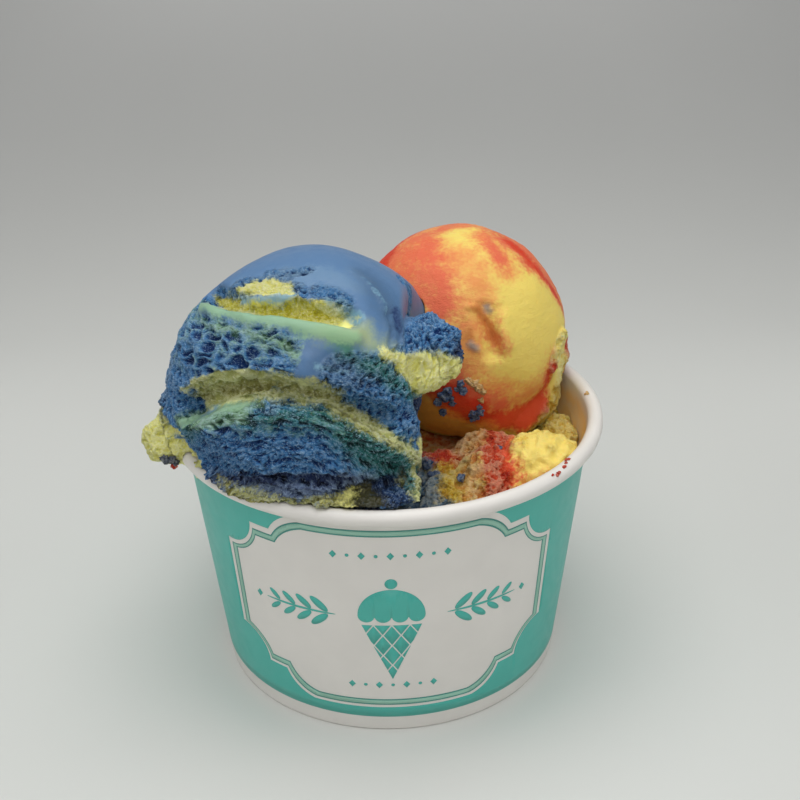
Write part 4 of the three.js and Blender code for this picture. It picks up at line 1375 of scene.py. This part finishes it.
class GELATO_OT_lower_ice_cream(bpy.types.Operator):
    """Fill the cup with ice cream, lumpy on top"""

    bl_idname = "gelato.lower_ice_cream"
    bl_label = "Lower Ice Cream"

    def execute(self, context):
        look = context.scene.yellow_scoop
        paper = context.scene.paper_cup.paper / MM
        split, joint, clear = 30, 0.1, 0.3
        off_scoops, off_wall, voxel = 0.25, 0.2, 0.62

        def room(height):
            return wall_radius(height) - paper - clear

        foot = spun([(0, FILL_FOOT), (room(FILL_FOOT), FILL_FOOT), (room(split), split), (0, split)], 96)
        top = bmesh.new()
        bmesh.ops.create_cone(
            top, cap_ends=True, cap_tris=False, segments=128, radius1=room(split), radius2=room(FILL_LEVEL),
            depth=FILL_LEVEL - split - joint, matrix=Matrix.Translation((0, 0, (FILL_LEVEL + split + joint) / 2)),
        )
        lumps = [lump(*place, 5, ragged=0.9 if k else 0.5, seed=2 * k) for k, place in enumerate(LUMPS)]
        mesh = skinned(as_mesh([top, *lumps]), voxel)
        mesh = divided(mesh, self.open_top(corners(mesh)[0]), 1)

        # The level between the lumps waves and dips
        points, outward = corners(mesh)
        surface = smooth(points[:, 2], 40, 43)
        x, y = points[:, 0], points[:, 1]
        dip_x, dip_y, dip_reach, dip_depth = FILL_DIP
        dip = 1 - smooth(np.hypot(x - dip_x, y - dip_y), 0, dip_reach)
        waves = np.sin(0.21 * x + 1) * np.sin(0.17 * y) + 0.5 * np.sin(0.45 * x - 0.31 * y)
        level = smooth(points[:, 2], 47, 48.2) * (1 - smooth(points[:, 2], 48.7, 50.5))
        points[:, 2] += level * (1.1 * waves - dip_depth * dip)

        middle, halves = SMOOTH_LUMP
        smoother = 1 - smooth(np.linalg.norm((points - middle) / halves, axis=1), 0.9, 1.25)
        crumbly = surface * (1 - 0.88 * smoother)
        frayed = points + 0.4 * grain(points, 0.9, 1, 2)[:, None]
        crumb = -0.6 * holes(frayed, (2.6, 2.6, 1.6), 2) - 0.5 * holes(points, 0.95, 5)
        crumb += 0.7 * grain(points, 3.4, 3, 3)
        relief = crumbly * crumb + surface * 0.12 * grain(points, (1.1, 1.1, 6), 2, 8)
        points = points + outward * relief[:, None]
        points = pushed_out(points, BLUE_CENTRE, blue_reach, off_scoops)
        points = pushed_out(points, YELLOW_CENTRE, yellow_reach, off_scoops)
        points = inside_cup(points, off_wall)
        points[:, 2] = np.maximum(points[:, 2], split + joint)
        move_corners(mesh, points)
        depths = {name: blobbed(regions, points) for name, regions in LOWER_ZONES.items()}
        note(mesh, **depths, torn=crumbly, relief=relief, drawn=points)
        material = ice_cream(
            "lower_ice_cream_marbled", look.yellow, (1, 0.9, 0.75), look, LOWER_LAYERS,
            roughness=0.36, frosted=0.25, melt=0.25, clouds=3, frost=(1, 0.84, 0.5), skin=0.1,
        )
        piece = placed(mesh, "ice_cream_top", material)
        body = placed(foot, "ice_cream_in_cup", material, False)
        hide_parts("lower_ice_cream")
        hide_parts("lower_ice_cream")
        return {"FINISHED"}

    def open_top(self, points):
        """Where the top is seen between the scoops and the wall."""
        x, y, z = points.T
        clear_of = [
            np.linalg.norm(points - centre, axis=1) > radius - 1
            for centre, radius in ((BLUE_CENTRE, BLUE_RADIUS), (YELLOW_CENTRE, YELLOW_RADIUS))
        ]
        return (z > 44.5) & (y < 26) & (x > -4) & clear_of[0] & clear_of[1]


def crumb(at, size, seed):
    """A ragged crumb stuck on at a point."""
    halves = (0.55 * size, 0.42 * size, 0.45 * size)
    return lump(at, halves, 4, turn=40 * seed, square=2.4, ragged=0.3 * size, seed=3 * seed, grains=0.5 * size)


class GELATO_OT_crumbs(bpy.types.Operator):
    """Scatter the crumbs on the yellow scoop and lumps, and the drops on the rim"""

    bl_idname = "gelato.crumbs"
    bl_label = "Crumbs and Drops"

    def execute(self, context):
        look = context.scene.yellow_scoop
        self.scatter("blue_crumbs", BLUE_CRUMBS, look.crumb, LUMP_CRUMBS)
        self.scatter("cream_crumbs", CREAM_CRUMBS, look.tan)
        dark_blue = (0.06, 0.08, 0.13)
        tones = {"red": look.red, "tan": look.tan, "blue": dark_blue, "orange": look.orange}
        for sort, tone in tones.items():
            drops = [self.drop(*drop) for *drop, kind in RIM_DROPS if kind == sort]
            stuck = [crumb(at, size, seed) for seed, (at, size, kind) in enumerate(BLOB_CRUMBS) if kind == sort]
            self.finish(as_mesh(drops + stuck), f"rim_drops_{sort}", tone)
        return {"FINISHED"}

    def scatter(self, name, on_scoop, tone, on_lumps=()):
        """Crumbs sunk a little into the yellow scoop, and on the tops of the lumps, as one piece."""
        parts = []
        for seed, (longitude, latitude, size) in enumerate(on_scoop):
            way = toward(longitude, latitude)
            parts.append(crumb(YELLOW_CENTRE + way * (YELLOW_RADIUS + 0.12 * size), size, seed))
        for seed, (x, y, size) in enumerate(on_lumps, len(on_scoop)):
            tops = []
            for middle, halves in LUMPS:
                across = np.hypot((x - middle[0]) / halves[0], (y - middle[1]) / halves[1])
                tops.append(middle[2] + halves[2] * math.sqrt(max(0, 1 - across**2)))
            parts.append(crumb((x, y, max(tops)), size, seed))
        self.finish(as_mesh(parts), name, tone)

    def drop(self, around, over, size):
        """A flat drop lying on the bead."""
        bead = bpy.context.scene.paper_cup.bead_radius / MM
        turn, rise = math.radians(around), math.radians(over)
        radius = RIM_RADIUS - bead + bead * math.cos(rise)
        at = Vector((radius * math.sin(turn), -radius * math.cos(turn), CUP_HEIGHT - bead + bead * math.sin(rise)))
        bm = lump((0, 0, 0), (size * 0.7, size * 0.4, 0.24), 4, ragged=0.3 * size, seed=around, grains=0.7)
        lean = Matrix.Rotation(turn, 4, "Z") @ Matrix.Rotation(math.pi / 2 - rise, 4, "X")
        bmesh.ops.transform(bm, matrix=Matrix.Translation(at) @ lean, verts=bm.verts)
        points = off_bead(np.array([vert.co for vert in bm.verts]), 0.03)
        for vert, place in zip(bm.verts, points.tolist()):
            vert.co = place
        return bm

    def finish(self, mesh, name, tone):
        """A mesh of crumbs or drops as a piece of a colour."""
        points, _ = corners(mesh)
        note(mesh, torn=np.full(len(points), 0.8), relief=0.5 * grain(points, 0.7, 2, 1) - 0.1, drawn=points)
        material = ice_cream(f"{name}_ice_cream", tone, (0.8, 0.8, 0.8), roughness=0.4, frosted=0.3)
        placed(mesh, name, material)


# ---------------------------------------------------------------- stage


class GELATO_OT_stage(bpy.types.Operator):
    """Set the pale sweep, the soft lights and the camera"""

    bl_idname = "gelato.stage"
    bl_label = "Stage"

    def execute(self, context):
        stage = context.scene.gelato_stage
        self.sweep(stage)
        self.lights(context)
        data = bpy.data.cameras.new("camera")
        data.lens, data.sensor_width, data.clip_start = stage.lens, 36, 0.01
        camera = bpy.data.objects.new("camera", data)
        camera.location = AXIS + Vector(stage.camera)
        camera.rotation_euler = Euler(stage.turn)
        context.scene.collection.objects.link(camera)
        context.scene.camera = camera
        context.scene.view_settings.view_transform = "Standard"
        return {"FINISHED"}

    def sweep(self, stage):
        """A floor that curves up into a backdrop."""
        start, radius = stage.sweep_start, stage.sweep_radius
        side, near, high = 1.6, -1.2, 1.5
        line = [(near, 0), *arc((start, radius), radius, -90, 0, 32), (start + radius, high)]
        bm = bmesh.new()
        verts = [bm.verts.new((-side, y, z)) for y, z in line]
        edges = [bm.edges.new(pair) for pair in zip(verts, verts[1:])]
        made = bmesh.ops.extrude_edge_only(bm, edges=edges)["geom"]
        bmesh.ops.translate(bm, vec=(2 * side, 0, 0), verts=[g for g in made if isinstance(g, bmesh.types.BMVert)])
        bmesh.ops.recalc_face_normals(bm, faces=bm.faces)
        mesh = bpy.data.meshes.new("sweep")
        bm.to_mesh(mesh)
        bm.free()
        if mesh.polygons[0].normal.z < 0:
            mesh.flip_normals()
        mesh.polygons.foreach_set("use_smooth", [True] * len(mesh.polygons))
        # Painted shade: it darkens towards the back, where less light reaches it, and is the faintest bit cloudy
        material, tree, shader = new_material("sweep_paper")
        place = node(tree, "ShaderNodeTexCoord", {})
        depth = node(tree, "ShaderNodeSeparateXYZ", {"Vector": place.outputs["Object"]}).outputs["Y"]
        colour = mixed(tree, stepped(tree, depth, 0.1, 0.37), stage.floor_tint, stage.backdrop_shade_tint)
        clouds = mixed(tree, stepped(tree, speckle(tree, 160, 2), 0.3, 0.7), (0, 0, 0), (1, 1, 1))
        put(tree, shader.inputs["Base Color"], mixed(tree, 0.015, colour, clouds))
        shader.inputs["Roughness"].default_value = 0.38
        mesh.materials.append(material)
        floor = bpy.data.objects.new("sweep", mesh)
        bpy.context.scene.collection.objects.link(floor)

    def lights(self, context):
        """A light tent: a wide lamp overhead, softer ones in front and at the sides, and pale surroundings."""
        # (name, place, rotation in degrees, size, power)
        lamps = [
            ("overhead", (0, -0.02, 0.6), (0, 0, 0), 0.55, 2.5),
            ("front", (0, -0.5, 0.42), (55, 0, 0), 0.4, 0.82),
            ("left", (-0.6, -0.1, 0.35), (65, 0, -90), 0.45, 0.6),
            ("right", (0.6, -0.1, 0.35), (65, 0, 90), 0.45, 0.5),
        ]
        for name, place, turn, size, power in lamps:
            data = bpy.data.lights.new(name, "AREA")
            data.shape, data.size, data.energy = "SQUARE", size, power
            lamp = bpy.data.objects.new(name, data)
            lamp.location = place
            lamp.rotation_euler = [math.radians(a) for a in turn]
            context.scene.collection.objects.link(lamp)
        world = context.scene.world or bpy.data.worlds.new("world")
        context.scene.world = world
        world.use_nodes = True
        surroundings = world.node_tree.nodes["Background"].inputs
        surroundings["Color"].default_value = (0.93, 0.95, 1, 1)
        surroundings["Strength"].default_value = 0.24


# ---------------------------------------------------------------- panel


class GELATO_PT_panel(bpy.types.Panel):
    """The cup's settings and the pieces that they make"""

    bl_label = "Gelato Cup"
    bl_space_type = "VIEW_3D"
    bl_region_type = "UI"
    bl_category = "Gelato"

    def draw(self, context):
        for group, operators in PANEL_ROWS:
            box = self.layout.box()
            settings = getattr(context.scene, group)
            for name in settings.__annotations__:
                box.prop(settings, name)
            for operator in operators:
                box.operator(operator.bl_idname)


PANEL_ROWS = [
    ("paper_cup", [GELATO_OT_cup_wall, GELATO_OT_side_seam]),
    ("cup_print", [GELATO_OT_cup_print]),
    ("blue_scoop", [GELATO_OT_blue_scoop]),
    ("yellow_scoop", [GELATO_OT_yellow_scoop, GELATO_OT_lower_ice_cream, GELATO_OT_crumbs]),
    ("gelato_stage", [GELATO_OT_stage]),
]
SETTINGS = {
    "paper_cup": PaperCupSettings,
    "cup_print": PrintSettings,
    "blue_scoop": BlueScoopSettings,
    "yellow_scoop": YellowScoopSettings,
    "gelato_stage": StageSettings,
}
CLASSES = [*SETTINGS.values(), *[operator for _, row in PANEL_ROWS for operator in row], GELATO_PT_panel]


def register():
    for cls in CLASSES:
        bpy.utils.register_class(cls)
    for name, group in SETTINGS.items():
        setattr(bpy.types.Scene, name, PointerProperty(type=group))


def unregister():
    for name in SETTINGS:
        delattr(bpy.types.Scene, name)
    for cls in reversed(CLASSES):
        bpy.utils.unregister_class(cls)


def main():
    """Builds the cup piece by piece, then the stage."""
    register()
    bpy.ops.gelato.cup_wall()
    bpy.ops.gelato.cup_print()
    bpy.ops.gelato.side_seam()
    bpy.ops.gelato.lower_ice_cream()
    bpy.ops.gelato.yellow_scoop()
    bpy.ops.gelato.blue_scoop()
    bpy.ops.gelato.crumbs()
    bpy.ops.gelato.stage()


if __name__ == "__main__":
    main()
